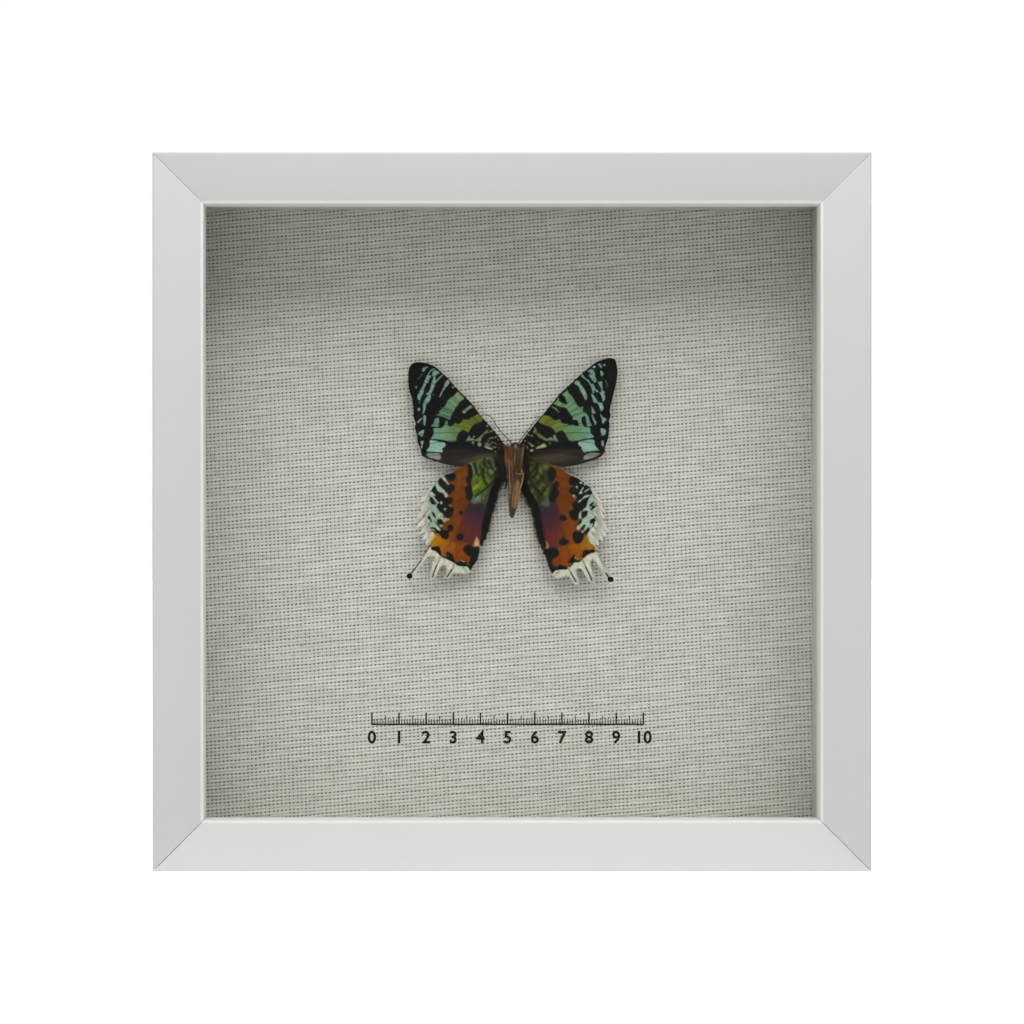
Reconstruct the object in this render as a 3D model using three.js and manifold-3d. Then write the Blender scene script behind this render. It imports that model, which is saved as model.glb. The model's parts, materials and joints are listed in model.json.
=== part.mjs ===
// A dried day-flying moth, mounted underside up on linen inside a white lacquered box frame.
// Millimetres, +Z up. The frame stands on Z = 0, its front face looks along -Y, and X = 0, Y = 0
// is the middle of the frame's width and depth.

import * as THREE from 'three';
import { mergeVertices } from 'three/addons/utils/BufferGeometryUtils.js';
import Module from 'manifold-3d';

const wasm = await Module();
wasm.setup();

// The box frame
const FRAME_SIDE = 250;
const FRAME_DEPTH = 45;
const FACE_WIDTH = 17.8; // white front face of each rail
const WALL = 11; // thickness of a rail behind its lip
const LIP = 7; // thickness of the lip that covers the glass edge
const FACE_ROUND = 1.2; // rounding of the outer front edge
const LIP_ROUND = 0.6; // rounding of the lip's edge beside the glass
const BACK_CHAMFER = 0.5;
const FIT = 0.3; // play between neighbouring pieces

// What lies in the frame, one behind the other
const GLASS = 2;
const SPACER_DEPTH = 27;
const SPACER = 2;
const LINEN = 0.8;
const MOUNT_BOARD = 3;
const BACK_PANEL = 2;

// Bent metal points that hold the back panel
const TAB_LENGTH = 15;
const TAB_WIDTH = 8;
const TAB = 0.6;
const TAB_IN_RAIL = 3.5;
const TAB_TIP = 4; // length of the point's tapered end
const TAB_SPREAD = 62; // from the middle of a side to each of its two points

// Sawtooth hanger, let into the back of the top rail
const HANGER_LENGTH = 42;
const HANGER_HEIGHT = 7;
const HANGER = 0.9;
const HANGER_POCKET = 1.6;
const HANGER_POCKET_MARGIN = 0.8; // room around the plate
const HANGER_TEETH = 9;
const TOOTH_PITCH = 2.9;
const TOOTH_DEPTH = 1.6;
const NAIL_INSET = 4; // from the end of the plate
const NAIL_RADIUS = 1.5;
const NAIL_LENGTH = 6;

// The moth
const MOTH_X = 1.5; // middle of the thorax, from the middle of the frame
const MOTH_ABOVE_MIDDLE = 19;
const WING = 0.5;
const WING_BASE_LIFT = 2.6; // front of a wing above the linen, beside the thorax
const FOREWING_RISE = 0.035; // further lift for each millimetre away from the body
const HINDWING_AHEAD = 0.45; // the hindwings lie on the forewings, seen from below
const ANTENNA_RADIUS = 0.22;
const LEG_RADIUS = 0.5;
const BALL_RADIUS = 1; // swollen end of a tail
const BALL_FLATNESS = 0.6;
const BODY_HEIGHT = 3.5; // from the middle of the body back to the linen
const ANTENNA_AHEAD = 1.4; // in front of the wings, at the head
const ANTENNA_DROP = 0.1; // and less of it at each point outward

const HALF = FRAME_SIDE / 2;
const FRONT = -FRAME_DEPTH / 2;
const BACK = FRAME_DEPTH / 2;
const GLASS_FRONT = FRONT + LIP + FIT;
const SPACER_FRONT = GLASS_FRONT + GLASS + FIT;
const LINEN_FRONT = SPACER_FRONT + SPACER_DEPTH + FIT;
const BOARD_FRONT = LINEN_FRONT + LINEN + FIT;
const PANEL_FRONT = BOARD_FRONT + MOUNT_BOARD + FIT;
const TAB_FRONT = PANEL_FRONT + BACK_PANEL + FIT;
const INSET = HALF - WALL - FIT; // half side of everything that lies in the rabbet

const white = new THREE.MeshStandardMaterial({ color: 0xe9eae6, roughness: 0.35 });
const clear = new THREE.MeshStandardMaterial({ color: 0xdfe8e4, roughness: 0.02, transparent: true, opacity: 0.25 });
const card = new THREE.MeshStandardMaterial({ color: 0xc9c7bb, roughness: 0.85 });
const cloth = new THREE.MeshStandardMaterial({ color: 0xb9b7ab, roughness: 0.95 });
const fibreboard = new THREE.MeshStandardMaterial({ color: 0x6d4a30, roughness: 0.8 });
const steel = new THREE.MeshStandardMaterial({ color: 0x9a9da0, roughness: 0.35, metalness: 1 });
const chitin = new THREE.MeshStandardMaterial({ color: 0x241d18, roughness: 0.7 });

const model = new THREE.Group();

function place(name, geometry, material) {
  const mesh = new THREE.Mesh(geometry, material);
  mesh.name = name;
  model.add(mesh);
  return mesh;
}

// A solid that three.js drew, as one that can be joined and cut
function solid(geometry) {
  const plain = geometry.index ? geometry.clone() : geometry;
  plain.deleteAttribute('normal');
  plain.deleteAttribute('uv');
  const merged = mergeVertices(plain, 1e-4);
  return new wasm.Manifold(new wasm.Mesh({
    numProp: 3,
    vertProperties: new Float32Array(merged.attributes.position.array),
    triVerts: new Uint32Array(merged.index.array),
  }));
}

function geometryOf(manifold) {
  const mesh = manifold.getMesh();
  const geometry = new THREE.BufferGeometry();
  geometry.setAttribute('position', new THREE.BufferAttribute(mesh.vertProperties, 3));
  geometry.setIndex(new THREE.BufferAttribute(mesh.triVerts, 1));
  return geometry;
}

function block(x0, x1, y0, y1, z0, z1) {
  const box = new THREE.BoxGeometry(x1 - x0, y1 - y0, z1 - z0);
  box.translate((x0 + x1) / 2, (y0 + y1) / 2, (z0 + z1) / 2);
  return box;
}

// A square sheet in the rabbet, from one depth to another
function sheet(front, thickness) {
  return block(-INSET, INSET, front, front + thickness, HALF - INSET, HALF + INSET);
}

// The rails: one section, drawn as distance from the outer edge and depth behind the face,
// run along the rail and cut at 45 degrees at both ends.
function railSection() {
  const shape = new THREE.Shape();
  shape.moveTo(0, FRAME_DEPTH - BACK_CHAMFER);
  shape.lineTo(0, FACE_ROUND);
  shape.absarc(FACE_ROUND, FACE_ROUND, FACE_ROUND, Math.PI, 1.5 * Math.PI, false);
  shape.lineTo(FACE_WIDTH - LIP_ROUND, 0);
  shape.absarc(FACE_WIDTH - LIP_ROUND, LIP_ROUND, LIP_ROUND, -0.5 * Math.PI, 0, false);
  shape.lineTo(FACE_WIDTH, LIP);
  shape.lineTo(WALL, LIP);
  shape.lineTo(WALL, FRAME_DEPTH);
  shape.lineTo(BACK_CHAMFER, FRAME_DEPTH);
  shape.closePath();
  return shape;
}

// The bottom rail, about the middle of the frame
function mitredRail() {
  const rail = new THREE.ExtrudeGeometry(railSection(), { depth: 2, bevelEnabled: false, curveSegments: 4 });
  const position = rail.attributes.position;
  for (let i = 0; i < position.count; i += 1) {
    const inward = position.getX(i);
    const depth = position.getY(i);
    const side = position.getZ(i) - 1;
    const reach = HALF - inward - FIT / 2;
    position.setXYZ(i, -side * reach, FRONT + depth, inward - HALF);
  }
  return rail;
}

// The two slots that the metal points go into, in the wall of the bottom rail
function tabSlots() {
  return [-1, 1].map((side) => block(
    side * TAB_SPREAD - TAB_WIDTH / 2 - FIT, side * TAB_SPREAD + TAB_WIDTH / 2 + FIT,
    TAB_FRONT - FIT, TAB_FRONT + TAB + FIT,
    WALL - HALF - TAB_IN_RAIL - FIT, WALL - HALF + 1,
  ));
}

const HANGER_Z = FRAME_SIDE - WALL / 2;

function hangerPocket() {
  const pocket = block(
    -HANGER_LENGTH / 2 - HANGER_POCKET_MARGIN, HANGER_LENGTH / 2 + HANGER_POCKET_MARGIN,
    BACK - HANGER_POCKET, BACK + 1,
    HANGER_Z - HANGER_HEIGHT / 2 - HANGER_POCKET_MARGIN, HANGER_Z + HANGER_HEIGHT / 2 + HANGER_POCKET_MARGIN,
  );
  return solid(pocket);
}

function nailHole(side) {
  const hole = new THREE.CylinderGeometry(NAIL_RADIUS / 2 + FIT, NAIL_RADIUS / 2 + FIT, NAIL_LENGTH + 2, 12);
  hole.translate(side * (HANGER_LENGTH / 2 - NAIL_INSET), BACK - NAIL_LENGTH / 2, HANGER_Z);
  return solid(hole);
}

function addRails() {
  const turns = { rail_bottom: 0, rail_left: 0.5, rail_top: 1, rail_right: 1.5 };
  for (const [name, turn] of Object.entries(turns)) {
    let rail = solid(mitredRail());
    for (const slot of tabSlots()) rail = rail.subtract(solid(slot));
    rail = rail.rotate([0, turn * 180, 0]).translate([0, 0, HALF]);
    if (name === 'rail_top') {
      rail = rail.subtract(hangerPocket()).subtract(nailHole(-1)).subtract(nailHole(1));
    }
    place(name, geometryOf(rail), white);
  }
}

// Thin strips between glass and linen, two full length and two between them
function addSpacers() {
  const inner = INSET - SPACER;
  const back = SPACER_FRONT + SPACER_DEPTH;
  const low = HALF - INSET;
  const high = HALF + INSET;
  place('spacer_bottom', block(-INSET, INSET, SPACER_FRONT, back, low, low + SPACER), card);
  place('spacer_top', block(-INSET, INSET, SPACER_FRONT, back, high - SPACER, high), card);
  place('spacer_left', block(-INSET, -inner, SPACER_FRONT, back, low + SPACER + FIT, high - SPACER - FIT), card);
  place('spacer_right', block(inner, INSET, SPACER_FRONT, back, low + SPACER + FIT, high - SPACER - FIT), card);
}

// A flat metal point: one end in the rail's slot, the other bent slightly on to the back panel
function tabGeometry() {
  const start = WALL - HALF - TAB_IN_RAIL;
  const outline = new THREE.Shape();
  outline.moveTo(-TAB_WIDTH / 2, start);
  outline.lineTo(TAB_WIDTH / 2, start);
  outline.lineTo(TAB_WIDTH / 2, start + TAB_LENGTH - TAB_TIP);
  outline.lineTo(0, start + TAB_LENGTH);
  outline.lineTo(-TAB_WIDTH / 2, start + TAB_LENGTH - TAB_TIP);
  outline.closePath();
  const tab = new THREE.ExtrudeGeometry(outline, { depth: TAB, bevelEnabled: false });
  tab.rotateX(Math.PI / 2);
  tab.translate(0, TAB_FRONT + TAB, 0);
  return tab;
}

function addTabs() {
  let number = 1;
  for (const turn of [0, 0.5, 1, 1.5]) {
    for (const side of [-1, 1]) {
      const tab = solid(tabGeometry().translate(side * TAB_SPREAD, 0, 0));
      place(`tab_${number}`, geometryOf(tab.rotate([0, turn * 180, 0]).translate([0, 0, HALF])), steel);
      number += 1;
    }
  }
}

function addHanger() {
  const bottom = -HANGER_HEIGHT / 2;
  const outline = new THREE.Shape();
  outline.moveTo(-HANGER_LENGTH / 2, -bottom);
  outline.lineTo(-HANGER_LENGTH / 2, bottom);
  outline.lineTo(-HANGER_TEETH * TOOTH_PITCH / 2, bottom);
  for (let tooth = 0; tooth < HANGER_TEETH; tooth += 1) {
    const left = (tooth - HANGER_TEETH / 2) * TOOTH_PITCH;
    outline.lineTo(left + TOOTH_PITCH / 2, bottom + TOOTH_DEPTH);
    outline.lineTo(left + TOOTH_PITCH, bottom);
  }
  outline.lineTo(HANGER_LENGTH / 2, bottom);
  outline.lineTo(HANGER_LENGTH / 2, -bottom);
  outline.closePath();
  const plate = new THREE.ExtrudeGeometry(outline, { depth: HANGER, bevelEnabled: false });
  plate.rotateX(Math.PI / 2);
  plate.translate(0, BACK - HANGER_POCKET + FIT + HANGER, HANGER_Z);
  let hanger = solid(plate);
  for (const side of [-1, 1]) hanger = hanger.subtract(nailHole(side));
  place('hanger', geometryOf(hanger), steel);
  for (const side of [-1, 1]) {
    const shank = new THREE.CylinderGeometry(NAIL_RADIUS / 2, NAIL_RADIUS / 2, NAIL_LENGTH, 12);
    shank.translate(side * (HANGER_LENGTH / 2 - NAIL_INSET), BACK - NAIL_LENGTH / 2, HANGER_Z);
    place(side < 0 ? 'nail_left' : 'nail_right', shank, steel);
  }
}

// The moth, in its own plane: across from the thorax and up from it, seen from the front.
// Each outline runs from the wing's root along its leading edge, out, and back along the hind edge.
const FOREWING_LEFT = [
  [-1, 4.6], [-3, 6], [-5, 8.8], [-7, 11.3], [-9, 13.6], [-11, 15.8], [-13.2, 18.7], [-15.5, 21.6],
  [-18.5, 24.6], [-21.5, 27.7], [-24, 30.6], [-26, 32.3], [-28, 34.2], [-29.6, 35.1], [-31.5, 35.8],
  [-33.5, 36.2], [-35.3, 36.3], [-36.6, 35.9], [-37.6, 34.9], [-38.2, 33.5], [-38.4, 31], [-38.3, 28],
  [-37.9, 25.5], [-37.1, 23.2], [-36.7, 21], [-36.4, 18.2], [-36.5, 16.4], [-36, 14.9], [-35.7, 13.6],
  [-36, 12.4], [-35.6, 10.9], [-35.1, 9], [-35, 7.2], [-34.4, 5.7], [-33.9, 4.6], [-33.7, 3.2],
  [-33.2, 2], [-31.8, 1.2], [-30, 0.5], [-28, -0.1], [-25.5, -0.9], [-22, -1.6], [-18, -1.9],
  [-13, -0.8], [-8, 0.2], [-4.5, 0.5], [-1, 0.6],
];
const FOREWING_RIGHT = [
  [1.4, 5], [2.4, 6.2], [3.6, 7.9], [5.4, 10.4], [7.4, 13], [9.2, 15.3], [11.2, 17.5], [13, 19.7],
  [15.2, 22.4], [17.3, 24.9], [20, 27.4], [22.6, 29.8], [24.9, 31.9], [27, 33.7], [30.1, 36.1],
  [31.6, 36.8], [33.5, 37.4], [35, 37.8], [36.4, 37.6], [37.3, 37.1], [37.8, 35.8], [38.1, 34],
  [38.2, 32.3], [38, 30.4], [37.6, 28.2], [37, 25.6], [36.4, 23.2], [35.8, 20.8], [35.4, 18.6],
  [35.7, 17], [35.4, 15.8], [35.1, 14.8], [35.3, 13.4], [35.1, 11.8], [35, 10], [34.7, 8.2],
  [34.2, 6.6], [33.6, 5.2], [33.6, 3.8], [33.1, 2.8], [32.2, 1.8], [30.6, 0.9], [29, 0.4], [27, -0.3],
  [24.5, -1], [21, -1.7], [17.5, -1.9], [13, -0.8], [8, 0.4], [4.5, 0.8], [1.4, 0.8],
];
// The hindwings with the white fringe of hairs along their outer edge
const HINDWING_LEFT = [
  [-1.5, 3.2], [-5, 2.2], [-8, 1.6], [-11, 0.9], [-14, 0.1], [-16.5, -0.7], [-18.5, -1.8],
  [-20.5, -2.6], [-21.8, -3.8], [-23.8, -4.4], [-25.6, -5], [-27.6, -6.2], [-29.4, -8], [-31.2, -10.2],
  [-32.6, -13], [-33.5, -16.5], [-33.8, -20], [-33.4, -23.5], [-32.4, -26.6], [-31.4, -29],
  [-31.2, -31.4], [-30.8, -33.6], [-29.8, -35.4], [-28, -36.8], [-26, -37.4], [-24, -38.2],
  [-22.2, -39.6], [-20, -40.4], [-17.4, -41], [-16, -40.9], [-15.4, -40.6], [-15, -39.4],
  [-13.7, -37.3], [-12.9, -35.5], [-12.3, -33], [-12.1, -31.4], [-11.4, -30.5], [-10.6, -29],
  [-10, -27.8], [-9.2, -26.2], [-8.4, -24.2], [-8, -22], [-7.6, -20], [-7.2, -18], [-6.9, -16],
  [-6.6, -14.2], [-5.8, -12.5], [-5.5, -10], [-5.1, -7.6], [-4, -6], [-1.5, -4.5],
];
const HINDWING_RIGHT = [
  [1.9, 3.4], [5, 2.4], [7.5, 1.2], [10, 0.3], [13, -0.7], [15.5, -1.6], [17.2, -2.3], [19, -3.4],
  [21, -4.7], [22.8, -5.2], [24.6, -6.2], [26.4, -7.4], [28.4, -8.8], [30, -10.4], [31.4, -12.6],
  [32.6, -15.4], [33.4, -18.6], [33.6, -22], [33, -25.4], [32, -28.2], [31.2, -30.2], [31, -32],
  [31.6, -34], [30.8, -36], [29, -37.4], [27, -38.4], [25.2, -39.4], [23, -40.2], [21.4, -41.2],
  [19.6, -42], [17.4, -42.6], [15.6, -42.2], [14.6, -41.4], [14, -41.1], [13.2, -39.8], [12.4, -38],
  [11.8, -36], [11.2, -34.2], [11, -33], [11, -31.6], [10.2, -30.6], [9.4, -29.4], [9, -27.4],
  [8.6, -25], [8, -22], [7.4, -20], [6.8, -18], [6.4, -15.6], [5.4, -13.6], [3.8, -12.8], [2.4, -11],
  [1.9, -8],
];

// Tails of the hindwings: points down the middle of each, its width, and whether it ends in a ball
const TAILS = [
  { line: [[-30, -30.8], [-31.2, -32.2], [-33, -35], [-35, -38.4], [-37.7, -41.8]], width: 1.5, ball: [-37.9, -42] },
  { line: [[-26.6, -35.6], [-27.4, -38], [-28.6, -40.6], [-29.7, -43]], width: 1.7 },
  { line: [[-21.2, -37.8], [-22, -39.4], [-23.1, -41.2], [-24.2, -42.8]], width: 1.5 },
  { line: [[29.6, -32.4], [31.2, -35], [33, -39], [35.4, -43]], width: 1.7, ball: [35.6, -43.2] },
  { line: [[25.4, -36.2], [26.6, -39], [27.8, -41.8], [28.8, -44.5]], width: 2 },
  { line: [[20.2, -38.8], [21.2, -41], [22.2, -43.2], [22.9, -45.2]], width: 2 },
];

const ANTENNAE = [
  [[0, 5.8], [-1.2, 7.3], [-3, 9.4], [-5.1, 11.7], [-6.9, 14.4], [-8.1, 16.2], [-9.4, 16.9], [-11.4, 17.1]],
  [[1, 5.4], [2, 6.6], [2.9, 8], [4, 9.6], [5.2, 11.2], [7.6, 14.2], [9.4, 16.5]],
];

// Body from the tip of the abdomen to the head: height, middle and radius
const BODY = [
  [-20.9, -0.4, 0], [-20, -0.4, 0.8], [-18, -0.2, 1.5], [-15, 0, 1.9], [-12, 0.3, 2.3], [-9, 0.5, 2.6],
  [-6, 0.5, 2.8], [-3, 0.4, 3.1], [0, 0.3, 3.3], [3, 0.4, 3.4], [5, 0.5, 2.4], [6.5, 0.6, 0.9],
  [7.1, 0.6, 0],
];

// Folded legs: across, up, and how far in front of the body's middle
const LEGS = [
  [[-2.6, 4.6, 1.6], [-2.2, 2.4, 2.7], [-1.7, -0.8, 3], [-1.3, -4, 2.8], [-1.4, -8, 2.3], [-1.3, -12, 1.9]],
  [[-0.8, 5, 1.8], [-0.6, 2, 3], [-0.3, -2, 3.2], [-0.2, -6, 2.9], [-0.5, -10, 2.3]],
  [[0.8, 5.4, 1.6], [0.6, 3, 2.9], [0.4, 0, 3.3], [0.3, -3, 3.2], [0.4, -5.6, 2.9]],
  [[2.2, 4.4, 1.6], [1.9, 2, 2.8], [1.6, -1.5, 3.2], [1.4, -4.4, 3], [2.6, -5.4, 2.8], [3.5, -5, 2.3], [3.1, -3.4, 2.1]],
  [[3.2, 4.8, 1], [3.6, 2.6, 1.8], [3.2, 1, 2.4], [2.6, -1, 2.8], [2.2, -3.6, 2.9], [2.3, -5, 3.1]],
  [[2.6, -5.6, 2.5], [2.7, -8, 2.2], [2.5, -10, 1.9], [1.8, -12.6, 1.8], [1.4, -15, 1.5]],
];

const WING_ROOT = LINEN_FRONT - WING_BASE_LIFT;

// Depth of the front of a forewing or hindwing at a place across and up
function wingFront(across, up, ahead) {
  const away = Math.hypot(across, up);
  return WING_ROOT - ahead - FOREWING_RISE * Math.max(0, away - 4);
}

function flatPiece(outline, ahead) {
  const shape = new THREE.Shape(outline.map(([x, z]) => new THREE.Vector2(x, z)));
  const piece = new THREE.ExtrudeGeometry(shape, { depth: WING, bevelEnabled: false });
  const position = piece.attributes.position;
  for (let i = 0; i < position.count; i += 1) {
    const across = position.getX(i);
    const up = position.getY(i);
    const behind = WING - position.getZ(i);
    position.setXYZ(i, across, wingFront(across, up, ahead) + behind, up);
  }
  return solid(piece);
}

// A ribbon of one width along a line in the wing's plane, with a narrow end
function ribbon(line, width) {
  const left = [];
  const right = [];
  line.forEach(([x, z], i) => {
    const before = line[Math.max(0, i - 1)];
    const after = line[Math.min(line.length - 1, i + 1)];
    const along = new THREE.Vector2(after[0] - before[0], after[1] - before[1]).normalize();
    const half = i === line.length - 1 ? width / 4 : width / 2;
    left.push([x - along.y * half, z + along.x * half]);
    right.unshift([x + along.y * half, z - along.x * half]);
  });
  return [...left, ...right];
}

function rod(points, radius, sides) {
  const curve = new THREE.CatmullRomCurve3(points.map(([x, y, z]) => new THREE.Vector3(x, y, z)));
  const ring = new THREE.Shape();
  for (let i = 0; i < sides; i += 1) {
    const angle = (2 * Math.PI * i) / sides;
    const point = [radius * Math.cos(angle), radius * Math.sin(angle)];
    if (i === 0) ring.moveTo(...point);
    else ring.lineTo(...point);
  }
  const steps = 3 * (points.length - 1);
  return solid(new THREE.ExtrudeGeometry(ring, { steps, bevelEnabled: false, extrudePath: curve }));
}

function addMoth() {
  const middle = LINEN_FRONT - FIT - BODY_HEIGHT;
  const body = new THREE.LatheGeometry(BODY.map(([up, , radius]) => new THREE.Vector2(radius, up)), 16);
  const position = body.attributes.position;
  for (let i = 0; i < position.count; i += 1) {
    const up = position.getY(i);
    const row = BODY.find((entry) => Math.abs(entry[0] - up) < 0.01);
    position.setXYZ(i, position.getX(i) + row[1], middle - position.getZ(i), up);
  }
  let moth = solid(body);
  for (const leg of LEGS) {
    const points = leg.map(([across, up, forward]) => [across, middle - forward, up]);
    moth = moth.add(rod(points, LEG_RADIUS, 8));
  }
  moth = moth.add(flatPiece(FOREWING_LEFT, 0)).add(flatPiece(FOREWING_RIGHT, 0));
  moth = moth.add(flatPiece(HINDWING_LEFT, HINDWING_AHEAD)).add(flatPiece(HINDWING_RIGHT, HINDWING_AHEAD));
  for (const tail of TAILS) {
    moth = moth.add(flatPiece(ribbon(tail.line, tail.width), HINDWING_AHEAD));
    if (tail.ball) {
      const [across, up] = tail.ball;
      const ball = new THREE.SphereGeometry(BALL_RADIUS, 10, 8);
      ball.scale(1, BALL_FLATNESS, 1);
      ball.translate(across, wingFront(across, up, HINDWING_AHEAD) + WING / 2, up);
      moth = moth.add(solid(ball));
    }
  }
  for (const antenna of ANTENNAE) {
    const points = antenna.map(([across, up], i) => [across, WING_ROOT - ANTENNA_AHEAD + ANTENNA_DROP * i, up]);
    moth = moth.add(rod(points, ANTENNA_RADIUS, 6));
  }
  place('moth', geometryOf(moth.translate([MOTH_X, 0, HALF + MOTH_ABOVE_MIDDLE])), chitin);
}

addRails();
place('glass_pane', sheet(GLASS_FRONT, GLASS), clear);
addSpacers();
place('linen', sheet(LINEN_FRONT, LINEN), cloth);
place('mount_board', sheet(BOARD_FRONT, MOUNT_BOARD), card);
place('back_panel', sheet(PANEL_FRONT, BACK_PANEL), fibreboard);
addTabs();
addHanger();
addMoth();

export default model;
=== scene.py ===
import json
import math

import bmesh
import bpy
import numpy as np
from mathutils import Matrix, Vector, noise

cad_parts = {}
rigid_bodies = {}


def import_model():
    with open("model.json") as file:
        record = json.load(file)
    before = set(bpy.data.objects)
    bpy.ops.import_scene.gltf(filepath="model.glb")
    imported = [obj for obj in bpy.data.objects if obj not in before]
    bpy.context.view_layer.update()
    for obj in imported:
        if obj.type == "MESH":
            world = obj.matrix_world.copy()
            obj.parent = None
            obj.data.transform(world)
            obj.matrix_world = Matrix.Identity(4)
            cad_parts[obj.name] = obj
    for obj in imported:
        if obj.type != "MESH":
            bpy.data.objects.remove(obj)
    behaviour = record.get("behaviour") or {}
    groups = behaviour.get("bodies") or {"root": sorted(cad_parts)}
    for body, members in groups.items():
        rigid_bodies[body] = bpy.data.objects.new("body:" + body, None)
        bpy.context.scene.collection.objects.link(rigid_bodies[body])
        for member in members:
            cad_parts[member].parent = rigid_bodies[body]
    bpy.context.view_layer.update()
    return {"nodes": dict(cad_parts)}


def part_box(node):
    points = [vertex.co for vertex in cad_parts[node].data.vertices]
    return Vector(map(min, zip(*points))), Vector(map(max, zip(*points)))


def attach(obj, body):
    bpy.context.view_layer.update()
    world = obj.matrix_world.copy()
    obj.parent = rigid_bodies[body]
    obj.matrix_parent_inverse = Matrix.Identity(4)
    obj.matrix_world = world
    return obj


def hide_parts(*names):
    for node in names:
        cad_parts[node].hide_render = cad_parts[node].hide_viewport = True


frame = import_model()

# The room: white surroundings and a plain pale floor, lit by a broad soft light above and in front
# of the frame and a weaker one low on the left. The camera stands a little left of the frame's
# middle and below it, level, and its lens is shifted so that the frame fills the picture's middle.
MM = 0.001
HALF = 125.0
FRONT = -22.5
BACK = 22.5
PICTURE = 1024
FRAME_PIXELS = 720
VIEW_DISTANCE = 600.0
VIEW_LEFT = 20.0
VIEW_LOW = 8.0
FILM = 36.0

bpy.context.scene.view_settings.view_transform = "Standard"
view_width = 2 * HALF * PICTURE / FRAME_PIXELS
bpy.ops.object.select_all(action="DESELECT")
bpy.ops.object.camera_add(
    location=(-VIEW_LEFT * MM, (FRONT - VIEW_DISTANCE) * MM, (HALF - VIEW_LOW) * MM),
    rotation=(math.radians(90), 0, 0),
)
camera = bpy.context.object
camera.data.sensor_width = FILM
camera.data.lens = FILM * VIEW_DISTANCE / view_width
camera.data.shift_x = VIEW_LEFT / view_width
camera.data.shift_y = VIEW_LOW / view_width
bpy.context.scene.camera = camera

WORLD_SEEN = 1.0
WORLD_LIGHT = 0.245


def add_light(name, place, aim, width, height, power):
    bpy.ops.object.light_add(type="AREA", location=place)
    light = bpy.context.object
    light.name = name
    light.rotation_euler = (Vector(aim) - Vector(place)).to_track_quat("-Z", "Y").to_euler()
    light.data.shape = "RECTANGLE"
    light.data.size = width
    light.data.size_y = height
    light.data.energy = power
    return light


add_light("light_above", (0.05, -0.6, 1.05), (0, 0, 0.1), 1.3, 0.7, 9.2)
add_light("light_left", (-1.2, -0.9, 0.3), (0, 0, 0.12), 0.8, 0.8, 1.2)

world = bpy.data.worlds.new("white_room")
world.use_nodes = True
bpy.context.scene.world = world
world_nodes = world.node_tree.nodes
backdrop = world_nodes["Background"]
ray = world_nodes.new("ShaderNodeLightPath")
brightness = world_nodes.new("ShaderNodeMapRange")
brightness.inputs["To Min"].default_value = WORLD_LIGHT
brightness.inputs["To Max"].default_value = WORLD_SEEN
backdrop.inputs["Color"].default_value = (1, 1, 1, 1)
world.node_tree.links.new(ray.outputs["Is Camera Ray"], brightness.inputs["Value"])
world.node_tree.links.new(brightness.outputs[0], backdrop.inputs["Strength"])


class Number:
    """A shader socket that holds a number. Python's own signs on it add Math nodes."""

    def __init__(self, finish, socket):
        self.finish = finish
        self.socket = socket

    def maths(self, operation, *values):
        made = self.finish.node("ShaderNodeMath", {"operation": operation}, dict(enumerate(values)))
        return Number(self.finish, made.outputs[0])

    def __add__(self, other):
        return self.maths("ADD", self, other)

    def __radd__(self, other):
        return self.maths("ADD", other, self)

    def __sub__(self, other):
        return self.maths("SUBTRACT", self, other)

    def __rsub__(self, other):
        return self.maths("SUBTRACT", other, self)

    def __mul__(self, other):
        return self.maths("MULTIPLY", self, other)

    def __rmul__(self, other):
        return self.maths("MULTIPLY", other, self)

    def __truediv__(self, other):
        return self.maths("DIVIDE", self, other)

    def floor(self):
        return self.maths("FLOOR", self)

    def size(self):
        return self.maths("ABSOLUTE", self)

    def or_more(self, other):
        return self.maths("MAXIMUM", self, other)

    def wave(self):
        """0 at whole numbers, 1 halfway between them."""
        return 0.5 - self.maths("COSINE", self * math.tau) * 0.5

    def between(self, low, high):
        """0 below low, 1 above high, and a smooth rise between them."""
        made = self.finish.node(
            "ShaderNodeMapRange",
            {"interpolation_type": "SMOOTHSTEP"},
            {"Value": self, "From Min": low, "From Max": high},
        )
        return Number(self.finish, made.outputs[0])


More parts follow.
